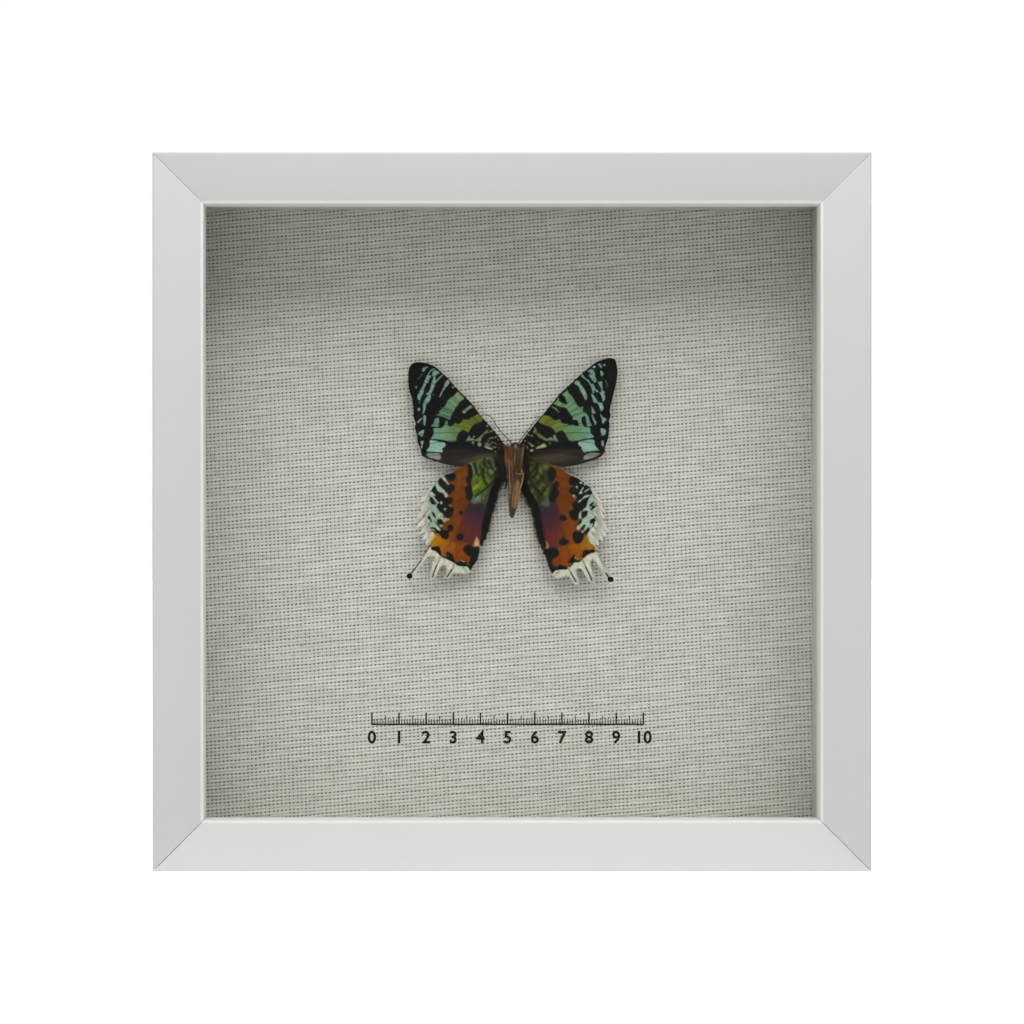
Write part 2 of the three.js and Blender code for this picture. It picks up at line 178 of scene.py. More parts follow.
class Finish:
    """A material. Its nodes are asked for one at a time, and varying ones end in its shader."""

    def __init__(self, name, constants):
        self.material = bpy.data.materials.new(name)
        self.material.use_nodes = True
        self.tree = self.material.node_tree
        self.tree.nodes.clear()
        self.shader = self.node("ShaderNodeBsdfPrincipled", {}, constants)
        self.output = self.node("ShaderNodeOutputMaterial", {}, {"Surface": self.shader.outputs[0]})
        self.place = self.node("ShaderNodeTexCoord").outputs["Object"]
        split = self.node("ShaderNodeSeparateXYZ", {}, {0: self.place})
        self.across, self.depth, self.height = (Number(self, socket) for socket in split.outputs)

    def node(self, kind, settings=None, sockets=None):
        made = self.tree.nodes.new(kind)
        for name, value in (settings or {}).items():
            setattr(made, name, value)
        for name, value in (sockets or {}).items():
            self.feed(made.inputs[name], value)
        return made

    def feed(self, socket, value):
        if isinstance(value, Number):
            value = value.socket
        if isinstance(value, bpy.types.NodeSocket):
            self.tree.links.new(value, socket)
        else:
            socket.default_value = value

    def point(self, x, y, z=0.0):
        return self.node("ShaderNodeCombineXYZ", {}, {0: x, 1: y, 2: z}).outputs[0]

    def noise(self, size, detail=2.0, place=None, stretch=(1, 1, 1)):
        """Cloudy noise, 0 to 1, whose lumps are about size millimetres, stretched along an axis."""
        scale = [1 / (size * MM * each) for each in stretch]
        shrunk = self.node("ShaderNodeVectorMath", {"operation": "MULTIPLY"}, {0: place or self.place, 1: scale})
        made = self.node("ShaderNodeTexNoise", {}, {"Vector": shrunk.outputs[0], "Scale": 1.0, "Detail": detail})
        return Number(self, made.outputs[0])

    def mix(self, factor, first, second, blend="MIX"):
        made = self.node("ShaderNodeMix", {"data_type": "RGBA", "blend_type": blend}, {0: factor, 6: first, 7: second})
        return made.outputs[2]

    def shade(self, colour, factor):
        """The colour, made darker or lighter by a number."""
        grey = self.point(factor, factor, factor)
        return self.node("ShaderNodeVectorMath", {"operation": "MULTIPLY"}, {0: colour, 1: grey}).outputs[0]

    def relief(self, height, depth):
        """Bumps, height times depth millimetres."""
        bump = self.node("ShaderNodeBump", {}, {"Height": height, "Distance": depth * MM, "Strength": 1.0})
        self.feed(self.shader.inputs["Normal"], bump.outputs[0])

    def wear(self, **sockets):
        for name, value in sockets.items():
            self.feed(self.shader.inputs[name.replace("_", " ").title()], value)
        return self


def paint(red, green, blue, lit=1.0):
    """A colour as the eye sees it, 0 to 255, under light that shows white as lit."""
    linear = []
    for value in (red, green, blue):
        share = value / 255
        linear.append((share / 12.92 if share < 0.04045 else ((share + 0.055) / 1.055) ** 2.4) / lit)
    return (*linear, 1.0)


deselect = bpy.ops.object.select_all
deselect(action="DESELECT")
bpy.ops.mesh.primitive_plane_add(size=8, location=(0, 0, -0.0002))
floor = bpy.context.object
floor.name = "floor"
bpy.ops.object.transform_apply(location=True)
floor_paint = Finish("pale_floor", {"Base Color": (0.9, 0.9, 0.9, 1), "Roughness": 0.9, "Emission Strength": 1.0})
seen = floor_paint.node("ShaderNodeLightPath").outputs["Is Camera Ray"]
floor_paint.wear(emission_color=floor_paint.mix(seen, (0.18, 0.18, 0.18, 1), (1, 1, 1, 1)))
floor.data.materials.append(floor_paint.material)

# The frame: four rails of wood, moulded with a flat face and a lip that holds the glass, mitred,
# glued and sprayed with white satin lacquer. The mitres at the bottom have opened a little.
FACE_WIDTH = 17.8
WALL = 11.0
LIP = 7.0
FACE_ROUND = 0.9
LIP_ROUND = 0.5
BACK_ROUND = 0.5
EDGE_ROUND = 0.12
MITRES = {
    "rail_bottom": (0.5 * 0, 0.11, 0.11),
    "rail_left": (0.25, 0.05, 0.11),
    "rail_top": (0.5, 0.03, 0.05),
    "rail_right": (0.75, 0.11, 0.03),
}


def apply_modifier(piece, kind, **settings):
    made = piece.modifiers.new(kind.title(), kind)
    for name, value in settings.items():
        setattr(made, name, value)
    bpy.context.view_layer.objects.active = piece
    bpy.ops.object.modifier_apply(modifier=made.name)


def smooth(piece, angle=35):
    deselect(action="DESELECT")
    piece.select_set(True)
    bpy.context.view_layer.objects.active = piece
    bpy.ops.object.shade_smooth_by_angle(angle=math.radians(angle))


def belongs(piece, slot, *nodes):
    """The piece stands for CAD nodes and rides with them. Its slot argument is not used."""
    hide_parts(*nodes)
    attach(piece, "root")


def add_block(name, low, high):
    """A box between two corners, in millimetres."""
    deselect(action="DESELECT")
    size = [(b - a) * MM for a, b in zip(low, high)]
    middle = [(a + b) / 2 * MM for a, b in zip(low, high)]
    bpy.ops.mesh.primitive_cube_add(size=1, location=middle, scale=size)
    piece = bpy.context.object
    piece.name = name
    bpy.ops.object.transform_apply(location=True, rotation=False, scale=True)
    return piece


def choose(piece, kind, test):
    """In edit mode, selects the faces or edges that pass a test on the corners' places in mm."""
    mesh = bmesh.from_edit_mesh(piece.data)
    mesh.select_mode = {kind}
    bpy.context.tool_settings.mesh_select_mode = (False, kind == "EDGE", kind == "FACE")
    for part in [*mesh.verts, *mesh.edges, *mesh.faces]:
        part.select = False
    for part in mesh.faces if kind == "FACE" else mesh.edges:
        if all(test(*(corner.co / MM)) for corner in part.verts):
            part.select = True
    bmesh.update_edit_mesh(piece.data)


def near(value, place):
    return abs(value - place) < 0.01


def round_edge(piece, depth, height, radius, segments):
    choose(piece, "EDGE", lambda x, y, z: near(y, depth) and near(z, height))
    bpy.ops.mesh.bevel(offset=radius * MM, segments=segments, affect="EDGES")


def add_rail(name, turn, gap_low, gap_high):
    piece = add_block(name, (-HALF - 5, FRONT, 0), (HALF + 5, BACK, WALL))
    bpy.ops.object.mode_set(mode="EDIT")
    bpy.ops.mesh.select_all(action="SELECT")
    bpy.ops.mesh.bisect(plane_co=(0, (FRONT + LIP) * MM, 0), plane_no=(0, 1, 0))
    choose(piece, "FACE", lambda x, y, z: near(z, WALL) and y < FRONT + LIP + 0.01)
    bpy.ops.mesh.extrude_region_move(TRANSFORM_OT_translate={"value": (0, 0, (FACE_WIDTH - WALL) * MM)})
    round_edge(piece, FRONT, 0, FACE_ROUND, 4)
    round_edge(piece, FRONT, FACE_WIDTH, LIP_ROUND, 3)
    round_edge(piece, BACK, 0, BACK_ROUND, 2)
    for side, gap in ((-1, gap_low), (1, gap_high)):
        bpy.ops.mesh.select_all(action="SELECT")
        bpy.ops.mesh.bisect(
            plane_co=(side * (HALF - gap) * MM, 0, 0), plane_no=(side, 0, 1), use_fill=True, clear_outer=True
        )
    bpy.ops.object.mode_set(mode="OBJECT")
    middle = Matrix.Translation((0, 0, HALF * MM))
    piece.data.transform(middle @ Matrix.Rotation(turn * math.tau, 4, "Y") @ middle.inverted())
    return piece


lacquer = Finish("white_satin_lacquer", {"Coat Roughness": 0.25, "Coat Weight": 0.15})
cloud = lacquer.noise(60, 3)
grain_across = lacquer.noise(0.9, 3, stretch=(30, 1, 1))
peel = lacquer.noise(1.1, 2)
aside = lacquer.across.size()
above = lacquer.height - HALF * MM
OPENING = HALF - FACE_WIDTH
# Painted highlight: the lip's inner sides and edge are painted lighter than the face, for the light they catch.
lip = 1 - aside.or_more(above.size()).between((OPENING + 0.3) * MM, (OPENING + 1.3) * MM)
# Painted light: the bottom rail's lacquer is painted 15 % lighter than the other rails', for the brighter light that
# falls on it.
painted_bottom_rail_light = 1 - (aside + above).between(-0.02 * MM, 0.02 * MM)
sprayed = lacquer.mix(cloud, (0.68, 0.705, 0.68, 1), (0.72, 0.74, 0.712, 1))
sprayed = lacquer.shade(sprayed, 1 + painted_bottom_rail_light * 0.15)
lacquer.wear(
    base_color=lacquer.mix(lip, sprayed, (0.95, 0.965, 0.935, 1)),
    roughness=0.34 + peel * 0.12,
)
lacquer.relief(peel * 0.7 + grain_across * 0.3, 0.02)

rails = {}
for rail_name, (turn, gap_low, gap_high) in MITRES.items():
    rails[rail_name] = add_rail(rail_name + "_lacquered", turn, gap_low, gap_high)

# The sawtooth hanger's pocket in the back of the top rail
HANGER_LENGTH = 42.0
HANGER_HEIGHT = 7.0
HANGER_POCKET = 1.6
POCKET_MARGIN = 0.8
hanger_z = 2 * HALF - WALL / 2
pocket = add_block(
    "pocket",
    (-HANGER_LENGTH / 2 - POCKET_MARGIN, BACK - HANGER_POCKET, hanger_z - HANGER_HEIGHT / 2 - POCKET_MARGIN),
    (HANGER_LENGTH / 2 + POCKET_MARGIN, BACK + 1, hanger_z + HANGER_HEIGHT / 2 + POCKET_MARGIN),
)
apply_modifier(rails["rail_top"], "BOOLEAN", object=pocket, operation="DIFFERENCE", solver="EXACT")
bpy.data.objects.remove(pocket)

for rail_name, piece in rails.items():
    apply_modifier(
        piece, "BEVEL", width=EDGE_ROUND * MM, segments=2, limit_method="ANGLE", angle_limit=math.radians(50)
    )
    smooth(piece)
    piece.data.materials.clear()
    piece.data.materials.append(lacquer.material)
    belongs(piece, "lacquered_rail", rail_name)

# The pane: 2 mm float glass with ground edges, held between the lip and the spacers.
glass_low, glass_high = (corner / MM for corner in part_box("glass_pane"))
pane = add_block("clear_pane", glass_low, glass_high)
apply_modifier(pane, "BEVEL", width=0.3 * MM, segments=1, limit_method="ANGLE")
glass = Finish(
    "clear_glass",
    {
        "Base Color": (0.985, 0.995, 0.99, 1),
        "Roughness": 0.0,
        "IOR": 1.15,
        "Transmission Weight": 1.0,
    },
)
see_through = glass.node("ShaderNodeBsdfTransparent", {}, {"Color": (0.96, 0.97, 0.965, 1)})
shadow_ray = glass.node("ShaderNodeLightPath").outputs["Is Shadow Ray"]
clear_mix = glass.node(
    "ShaderNodeMixShader", {}, {0: shadow_ray, 1: glass.shader.outputs[0], 2: see_through.outputs[0]}
)
glass.feed(glass.output.inputs["Surface"], clear_mix.outputs[0])
pane.data.materials.append(glass.material)
belongs(pane, "pane", "glass_pane")

# Four strips of board, faced with pale grey paper, line the inside and keep glass and linen apart.
strip_paper = Finish("grey_strip_paper", {"Roughness": 0.8})
fibres = strip_paper.noise(0.5, 4, stretch=(1, 4, 1))
strip_paper.wear(base_color=strip_paper.mix(fibres, paint(200, 200, 190), paint(214, 214, 204)))
strip_paper.relief(fibres, 0.05)
for side in ("bottom", "top", "left", "right"):
    low, high = (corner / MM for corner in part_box("spacer_" + side))
    strip = add_block("spacer_strip_" + side, low, high)
    apply_modifier(strip, "BEVEL", width=0.25 * MM, segments=2, limit_method="ANGLE")
    smooth(strip)
    strip.data.materials.append(strip_paper.material)
    belongs(strip, "spacer_strip", "spacer_" + side)

# The ground: one square of open, slubby plain-weave linen in warm grey, stretched over the board
# and held at its edges by the strips. Its wefts run slightly uphill to the right.
WARP_PITCH = 1.5
WEFT_PITCH = 1.26
WEFT_CLIMB = math.tan(math.radians(5.4))
WARP_LEAN = math.tan(math.radians(1.6))
linen_low, linen_high = (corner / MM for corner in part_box("linen"))
LINEN_CELLS = 96

deselect(action="DESELECT")
bpy.ops.mesh.primitive_grid_add(x_subdivisions=LINEN_CELLS, y_subdivisions=LINEN_CELLS, size=1)
linen = bpy.context.object
linen.name = "linen_ground"
linen_side = linen_high.x - linen_low.x
linen_middle = (linen_high + linen_low) / 2
for vertex in linen.data.vertices:
    across, up = vertex.co.x * linen_side, vertex.co.y * linen_side
    swell = 0.06 * noise.noise(Vector((across / 30, up / 30, 2.0)))
    place = Vector((across, linen_low.y + 0.07 + swell, up + linen_middle.z))
    vertex.co = place * MM
apply_modifier(linen, "SOLIDIFY", thickness=-0.55 * MM, offset=1)


def weave(finish):
    """How much of each place is thread rather than a hole, and the painted shade in the grooves between its rows and
    columns.
    """
    wander = (finish.noise(26, 2) - 0.5) * (0.5 * MM)
    shiver = (finish.noise(5, 2) - 0.5) * (0.22 * MM)
    column = (finish.across + finish.height * WARP_LEAN + shiver + wander) / (WARP_PITCH * MM)
    row = (finish.height - finish.across * WEFT_CLIMB + wander * 1.5 + shiver) / (WEFT_PITCH * MM)
    open_row = (row * 0.5 + 0.25).wave()
    between_columns = column.wave()
    between_rows = row.wave()
    slub = finish.noise(
        1.0, 3, place=finish.point(finish.across * 0.12, row.floor() * (1.7 * MM), finish.height * 0.02)
    )
    knot = finish.noise(
        1.0, 3, place=finish.point(column.floor() * (1.9 * MM), finish.height * 0.14, finish.across * 0.02)
    )
    gap = between_columns.between(0.38, 0.95) * between_rows.between(0.34, 0.95)
    tight = 0.46 - slub * 0.38 - knot * 0.30 + open_row * 0.42 + (finish.noise(2.2, 2) - 0.5) * 0.7
    hole = gap * tight.between(0.0, 0.36)
    # Painted shade: the threads are darkened in the grooves between the weft rows and, faintly, between the warp
    # columns.
    line = between_rows.between(0.45, 1.0) * (0.3 + slub * 0.5)
    painted_column_shade = between_columns.between(0.6, 1.0) * 0.05
    return hole, line, painted_column_shade, slub, knot, between_columns, between_rows


cloth = Finish("slubby_linen", {"Roughness": 0.92, "Sheen Weight": 0.15, "Specular IOR Level": 0.15})
hole, line, painted_column_shade, slub, knot, between_columns, between_rows = weave(cloth)
yarn_tint = cloth.noise(1.0, 2, place=cloth.point(cloth.across * 0.05, cloth.height * 0.8, 0.0))
yarn = cloth.mix(yarn_tint.between(0.35, 0.7), (0.62, 0.598, 0.528, 1), (0.685, 0.667, 0.614, 1))
rosy = cloth.noise(2.6, 1).between(0.70, 0.78) * 0.35
yarn = cloth.mix(rosy, yarn, (0.40, 0.32, 0.285, 1))
fuzz = cloth.noise(0.35, 3)
lightness = 0.70 + slub * 0.30 + knot * 0.18 + fuzz * 0.20
# The thread colour carries the painted shade of the grooves between rows and columns.
threads = cloth.shade(yarn, lightness * (1 - line * 0.42) * (1 - painted_column_shade))
# The holes are painted near black: the board seen through them, darkened by painted shade.
cloth.wear(base_color=cloth.mix(hole, threads, (0.115, 0.105, 0.085, 1)))
cloth.relief(
    (1 - hole) * 0.5 + (1 - between_rows) * 0.35 + (1 - between_columns) * 0.2 + fuzz * 0.15 + slub * 0.2, 0.3
)
linen.data.materials.append(cloth.material)
smooth(linen, 60)
belongs(linen, "linen_cloth", "linen")

# A plain centimetre scale is printed on the linen below the moth, in black.
SCALE_LEFT = -50.4
SCALE_Z = 47.0
SCALE_LENGTH = 100
LINE_WEIGHT = 0.55
TICKS = {10: 4.6, 5: 3.4, 1: 2.2}
NUMERAL_HEIGHT = 4.4
NUMERAL_DROP = 6.6
ink_depth = linen_low.y - 0.05

ink = Finish("black_print", {"Roughness": 0.75, "Specular IOR Level": 0.1})
ink_hole = weave(ink)[0]
ink.wear(base_color=ink.mix(ink.noise(0.5, 2), (0.004, 0.004, 0.004, 1), (0.012, 0.011, 0.011, 1)))
ink.wear(alpha=1 - ink_hole * 0.3)

marks = [add_block("scale_line", (SCALE_LEFT, ink_depth, SCALE_Z), (SCALE_LEFT + SCALE_LENGTH, ink_depth + 0.02, SCALE_Z + LINE_WEIGHT))]
for millimetre in range(0, SCALE_LENGTH + 1):
    tall = next(height for step, height in TICKS.items() if millimetre % step == 0)
    weight = LINE_WEIGHT if millimetre % 10 == 0 else LINE_WEIGHT * 0.55
    middle = SCALE_LEFT + millimetre
    if millimetre % 5 == 0 or tall < 3:
        marks.append(
            add_block(
                "tick",
                (middle - weight / 2, ink_depth, SCALE_Z),
                (middle + weight / 2, ink_depth + 0.02, SCALE_Z + tall),
            )
        )
for centimetre in range(SCALE_LENGTH // 10 + 1):
    deselect(action="DESELECT")
    bpy.ops.object.text_add(rotation=(math.radians(90), 0, 0))
    numeral = bpy.context.object
    numeral.data.body = str(centimetre)
    numeral.data.align_x = "CENTER"
    numeral.data.size = NUMERAL_HEIGHT / 0.7 * MM
    numeral.data.offset = 0.17 * MM
    numeral.data.resolution_u = 4
    numeral.location = ((SCALE_LEFT + centimetre * 10) * MM, ink_depth * MM, (SCALE_Z - NUMERAL_DROP) * MM)
    bpy.ops.object.convert(target="MESH")
    bpy.ops.object.transform_apply(location=True, rotation=True, scale=True)
    marks.append(numeral)
deselect(action="DESELECT")
for mark in marks:
    mark.select_set(True)
bpy.context.view_layer.objects.active = marks[0]
bpy.ops.object.join()
scale_print = bpy.context.object
scale_print.name = "printed_centimetre_scale"
scale_print.data.materials.clear()
scale_print.data.materials.append(ink.material)
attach(scale_print, "root")

# Behind the linen: a grey mount board, then a brown hardboard panel that closes the back.
board_low, board_high = (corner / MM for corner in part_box("mount_board"))
board = add_block("grey_mount_board", board_low, board_high)
apply_modifier(board, "BEVEL", width=0.4 * MM, segments=2, limit_method="ANGLE")
smooth(board)
grey_board = Finish("grey_board", {"Roughness": 0.9})
speck = grey_board.noise(0.7, 4)
grey_board.wear(base_color=grey_board.mix(speck, (0.30, 0.29, 0.25, 1), (0.44, 0.43, 0.38, 1)))
grey_board.relief(speck, 0.05)
board.data.materials.append(grey_board.material)
belongs(board, "board", "mount_board")

panel_low, panel_high = (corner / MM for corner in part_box("back_panel"))
panel = add_block("hardboard_panel", panel_low, panel_high)
apply_modifier(panel, "BEVEL", width=0.35 * MM, segments=2, limit_method="ANGLE")
smooth(panel)
hardboard = Finish("brown_hardboard", {})
flecks = hardboard.noise(1.6, 5, stretch=(1.6, 1, 1))
stains = hardboard.noise(45, 3)
hardboard.wear(
    base_color=hardboard.shade(
        hardboard.mix(flecks.between(0.3, 0.75), (0.085, 0.042, 0.02, 1), (0.20, 0.115, 0.06, 1)), 0.8 + stains * 0.4
    ),
    roughness=0.42 + flecks * 0.25,
)
hardboard.relief(flecks, 0.04)
panel.data.materials.append(hardboard.material)
belongs(panel, "hardboard", "back_panel")

# Eight flat steel points, driven into the rails, hold the panel. Each is stamped from strip, and its
# free end is tapered. The sawtooth hanger is nailed into its pocket in the top rail.
zinc = Finish("zinc_plate", {"Metallic": 1.0})
spangle = zinc.node("ShaderNodeTexVoronoi", {"feature": "SMOOTH_F1"}, {"Vector": zinc.place, "Scale": 420.0})
rolled = zinc.noise(0.25, 2, stretch=(8, 1, 1))
zinc.wear(
    base_color=zinc.mix(Number(zinc, spangle.outputs["Distance"]), (0.52, 0.53, 0.55, 1), (0.66, 0.67, 0.68, 1)),
    roughness=0.3 + rolled * 0.18,
)
zinc.relief(rolled, 0.01)
TAB_TAPER = 4.0
for number in range(1, 9):
    low, high = (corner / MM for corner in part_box(f"tab_{number}"))
    tab_middle = (low + high) / 2
    tall = high.z - low.z > high.x - low.x
    length, width = (high.z - low.z, high.x - low.x) if tall else (high.x - low.x, high.z - low.z)
    tab = add_block(f"steel_point_{number}", (-width / 2, low.y, -length / 2), (width / 2, high.y, length / 2 - TAB_TAPER))
    bpy.ops.object.mode_set(mode="EDIT")
    choose(tab, "FACE", lambda x, y, z: near(z, length / 2 - TAB_TAPER))
    bpy.ops.mesh.extrude_region_move(TRANSFORM_OT_translate={"value": (0, 0, TAB_TAPER * MM)})
    bpy.ops.transform.resize(value=(0.12, 1, 1))
    bpy.ops.object.mode_set(mode="OBJECT")
    apply_modifier(tab, "BEVEL", width=0.12 * MM, segments=2, limit_method="ANGLE")
    smooth(tab)
    inward = Vector((0, 0, HALF)) - Vector((tab_middle.x, 0, tab_middle.z))
    turn = (0.0 if inward.z > 0 else math.pi) if tall else (math.pi / 2 if inward.x > 0 else -math.pi / 2)
    place = Matrix.Translation((tab_middle.x * MM, 0, tab_middle.z * MM))
    tab.data.transform(place @ Matrix.Rotation(turn, 4, "Y"))
    tab.data.materials.append(zinc.material)
    belongs(tab, "steel", f"tab_{number}")

hanger = frame["nodes"]["hanger"]
hanger.data.materials.clear()
hanger.data.materials.append(zinc.material)
NAIL_HEAD_RADIUS = 1.5
for side in ("left", "right"):
    low, high = (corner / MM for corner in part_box("nail_" + side))
    middle = (low + high) / 2
    deselect(action="DESELECT")
    bpy.ops.mesh.primitive_cylinder_add(
        vertices=24,
        radius=(high.x - low.x) / 2 * MM,
        depth=(high.y - low.y - 0.6) * MM,
        location=(middle.x * MM, (middle.y - 0.3) * MM, middle.z * MM),
        rotation=(math.radians(-90), 0, 0),
    )
    nail = bpy.context.object
    nail.name = "hanger_nail_" + side
    bpy.ops.object.transform_apply(location=True, rotation=True)
    bpy.ops.object.mode_set(mode="EDIT")
    choose(nail, "FACE", lambda x, y, z: y > high.y - 0.7)
    bpy.ops.mesh.extrude_region_move(TRANSFORM_OT_translate={"value": (0, 0.05 * MM, 0)})
    bpy.ops.transform.resize(value=(NAIL_HEAD_RADIUS / 0.75, 1, NAIL_HEAD_RADIUS / 0.75))
    bpy.ops.mesh.extrude_region_move(TRANSFORM_OT_translate={"value": (0, 0.3 * MM, 0)})
    bpy.ops.mesh.extrude_region_move(TRANSFORM_OT_translate={"value": (0, 0.2 * MM, 0)})
    bpy.ops.transform.resize(value=(0.6, 1, 0.6))
    bpy.ops.object.mode_set(mode="OBJECT")
    smooth(nail)
    nail.data.materials.append(zinc.material)
    belongs(nail, "steel", "nail_" + side)

# The moth grew as one thing. It is dried with its wings spread and its underside to the front, and
# glued by the thorax, so its wings stand clear of the linen. Its places are given across and up
# from the middle of the thorax, in millimetres. The four wings are thin sheets, covered in scales.
MOTH_X = 1.5
MOTH_Z = 144.0
WING_ROOT = linen_low.y - 2.6
WING_RISE = 0.035
HINDWING_AHEAD = 0.45
WING_THICKNESS = 0.22
SCALE_GRID = 0.22
BACK_DETAIL = 0.2
VEIN_RIDGE = 0.07
LIT = 0.96


def rounded(points, closed=True, steps=4):
    """A smooth line through points, as many more of them."""
    points = np.array(points, float)
    count = len(points)
    spans = count if closed else count - 1
    line = []
    for i in range(spans):
        if closed:
            a, b, c, d = (points[(i + k) % count] for k in (-1, 0, 1, 2))
        else:
            a, b, c, d = (points[min(max(i + k, 0), count - 1)] for k in (-1, 0, 1, 2))
        for step in range(steps):
            t = step / steps
            curve = 2 * b + (c - a) * t + (2 * a - 5 * b + 4 * c - d) * t**2 + (3 * b - a - 3 * c + d) * t**3
            line.append(curve / 2)
    if not closed:
        line.append(points[-1])
    return np.array(line)


def line_distance(places, line, closed=True):
    """How far places are from a line, inside a closed one positive, and its nearest points."""
    across, up = places[:, 0], places[:, 1]
    best = np.full(len(places), 1e9)
    nearest = places.copy()
    inside = np.zeros(len(places), bool)
    ends = np.roll(line, -1, axis=0) if closed else line[1:]
    for (start_x, start_y), (end_x, end_y) in zip(line, ends):
        run, climb = end_x - start_x, end_y - start_y
        share = ((across - start_x) * run + (up - start_y) * climb) / (run**2 + climb**2 + 1e-12)
        share = np.clip(share, 0, 1)
        x, y = start_x + share * run, start_y + share * climb
        square = (across - x) ** 2 + (up - y) ** 2
        closer = square < best
        best[closer] = square[closer]
        nearest[closer] = np.stack([x, y], axis=1)[closer]
        if closed and start_y != end_y:
            level = (start_y > up) != (end_y > up)
            inside ^= level & (across < run * (up - start_y) / climb + start_x)
    distance = np.sqrt(best)
    if closed:
        distance = np.where(inside, distance, -distance)
    return distance, nearest


def rise(value, low, high):
    share = np.clip((value - low) / (high - low), 0, 1)
    return share * share * (3 - 2 * share)


def cloudy(places, size, seed):
    return np.array([noise.noise(Vector((u / size, v / size, seed))) for u, v in places])


def wing_depth(places, ahead):
    away = np.hypot(places[:, 0], places[:, 1])
    return WING_ROOT - ahead - WING_RISE * np.maximum(0, away - 4)


class Skin:
    """The colours of a piece's scales or hairs, painted on it area by area at places across and up."""

    def __init__(self, piece, places, colour, veins=()):
        self.piece = piece
        self.at = places
        self.veins = veins
        self.rag = 0.7 * cloudy(places, 0.5, 1.0) + 0.6 * cloudy(places, 1.5, 2.0)
        away = np.hypot(*places.T)
        turn = np.arctan2(*places.T)
        streaks = np.stack([turn * away.mean() / 0.35, away / 5], axis=1)
        self.streak = cloudy(streaks, 1.0, 3.0)
        self.colour = np.tile(np.array(colour, float), (len(places), 1))

    def cover(self, where, share, colour):
        colour = np.asarray(colour, float)
        if colour.ndim == 2:
            colour = colour[where]
        self.colour[where] += share[:, None] * (colour - self.colour[where])

    def close_to(self, line, reach):
        low, high = line.min(axis=0) - reach, line.max(axis=0) + reach
        return np.nonzero(((self.at > low) & (self.at < high)).all(axis=1))[0]

    def area(self, colour, points, soft=0.16, ragged=0.15):
        """Colours a closed area, whose points run round it."""
        line = rounded(points, steps=3)
        where = self.close_to(line, 1.5)
        distance = line_distance(self.at[where], line)[0] + ragged * self.rag[where]
        self.cover(where, rise(distance, -soft, soft), colour)

    def line(self, colour, width, points, soft=0.14, ragged=0.08, strength=1.0):
        """Colours a stroke, one width from end to end."""
        line = rounded(points, closed=False, steps=3)
        where = self.close_to(line, 1.5 + width)
        distance = width / 2 - line_distance(self.at[where], line, closed=False)[0]
        distance += ragged * self.rag[where]
        self.cover(where, strength * rise(distance, -soft, soft), colour)

    def spot(self, colour, u, v, wide, tall=None, soft=0.16):
        """Colours a round or oval spot, of these radii."""
        tall = tall or wide
        where = self.close_to(np.array([[u, v]]), wide + tall + 1)
        offset = (self.at[where] - (u, v)) / (wide, tall)
        distance = (1 - np.hypot(*offset.T)) * min(wide, tall) + 0.1 * self.rag[where]
        self.cover(where, rise(distance, -soft, soft), colour)

    def ramp(self, start, end, *colours):
        """Colours graded evenly from a start to an end, for an area."""
        start, end = np.array(start, float), np.array(end, float)
        along = ((self.at - start) @ (end - start)) / ((end - start) @ (end - start))
        along = np.clip(along + 0.05 * self.streak, 0, 1) * (len(colours) - 1)
        stops = np.arange(len(colours))
        return np.stack([np.interp(along, stops, channel) for channel in np.array(colours, float).T], axis=1)

    def vein_lines(self, strength, width=0.2):
        """Darkens the scales along the veins."""
        for vein in self.veins:
            self.line((14, 13, 11), width, vein[::4], soft=0.18, strength=strength)

    def stain(self, look, mottle=0.16):
        """Stores the colours on the mesh, as light values, and gives it its material."""
        value = self.colour * (1 + mottle * self.streak[:, None] + 0.10 * self.rag[:, None])
        linear = np.clip(value, 0, 255) / 255
        linear = np.where(linear < 0.04045, linear / 12.92, ((linear + 0.055) / 1.055) ** 2.4) / LIT
        mesh = self.piece.data
        scales = mesh.color_attributes.new(name="scales", type="FLOAT_COLOR", domain="POINT")
        scales.data.foreach_set("color", np.column_stack([linear, np.ones(len(linear))]).ravel())
        mesh.materials.clear()
        mesh.materials.append(look.material)
        moth_parts.append(self.piece)


moth_parts = []


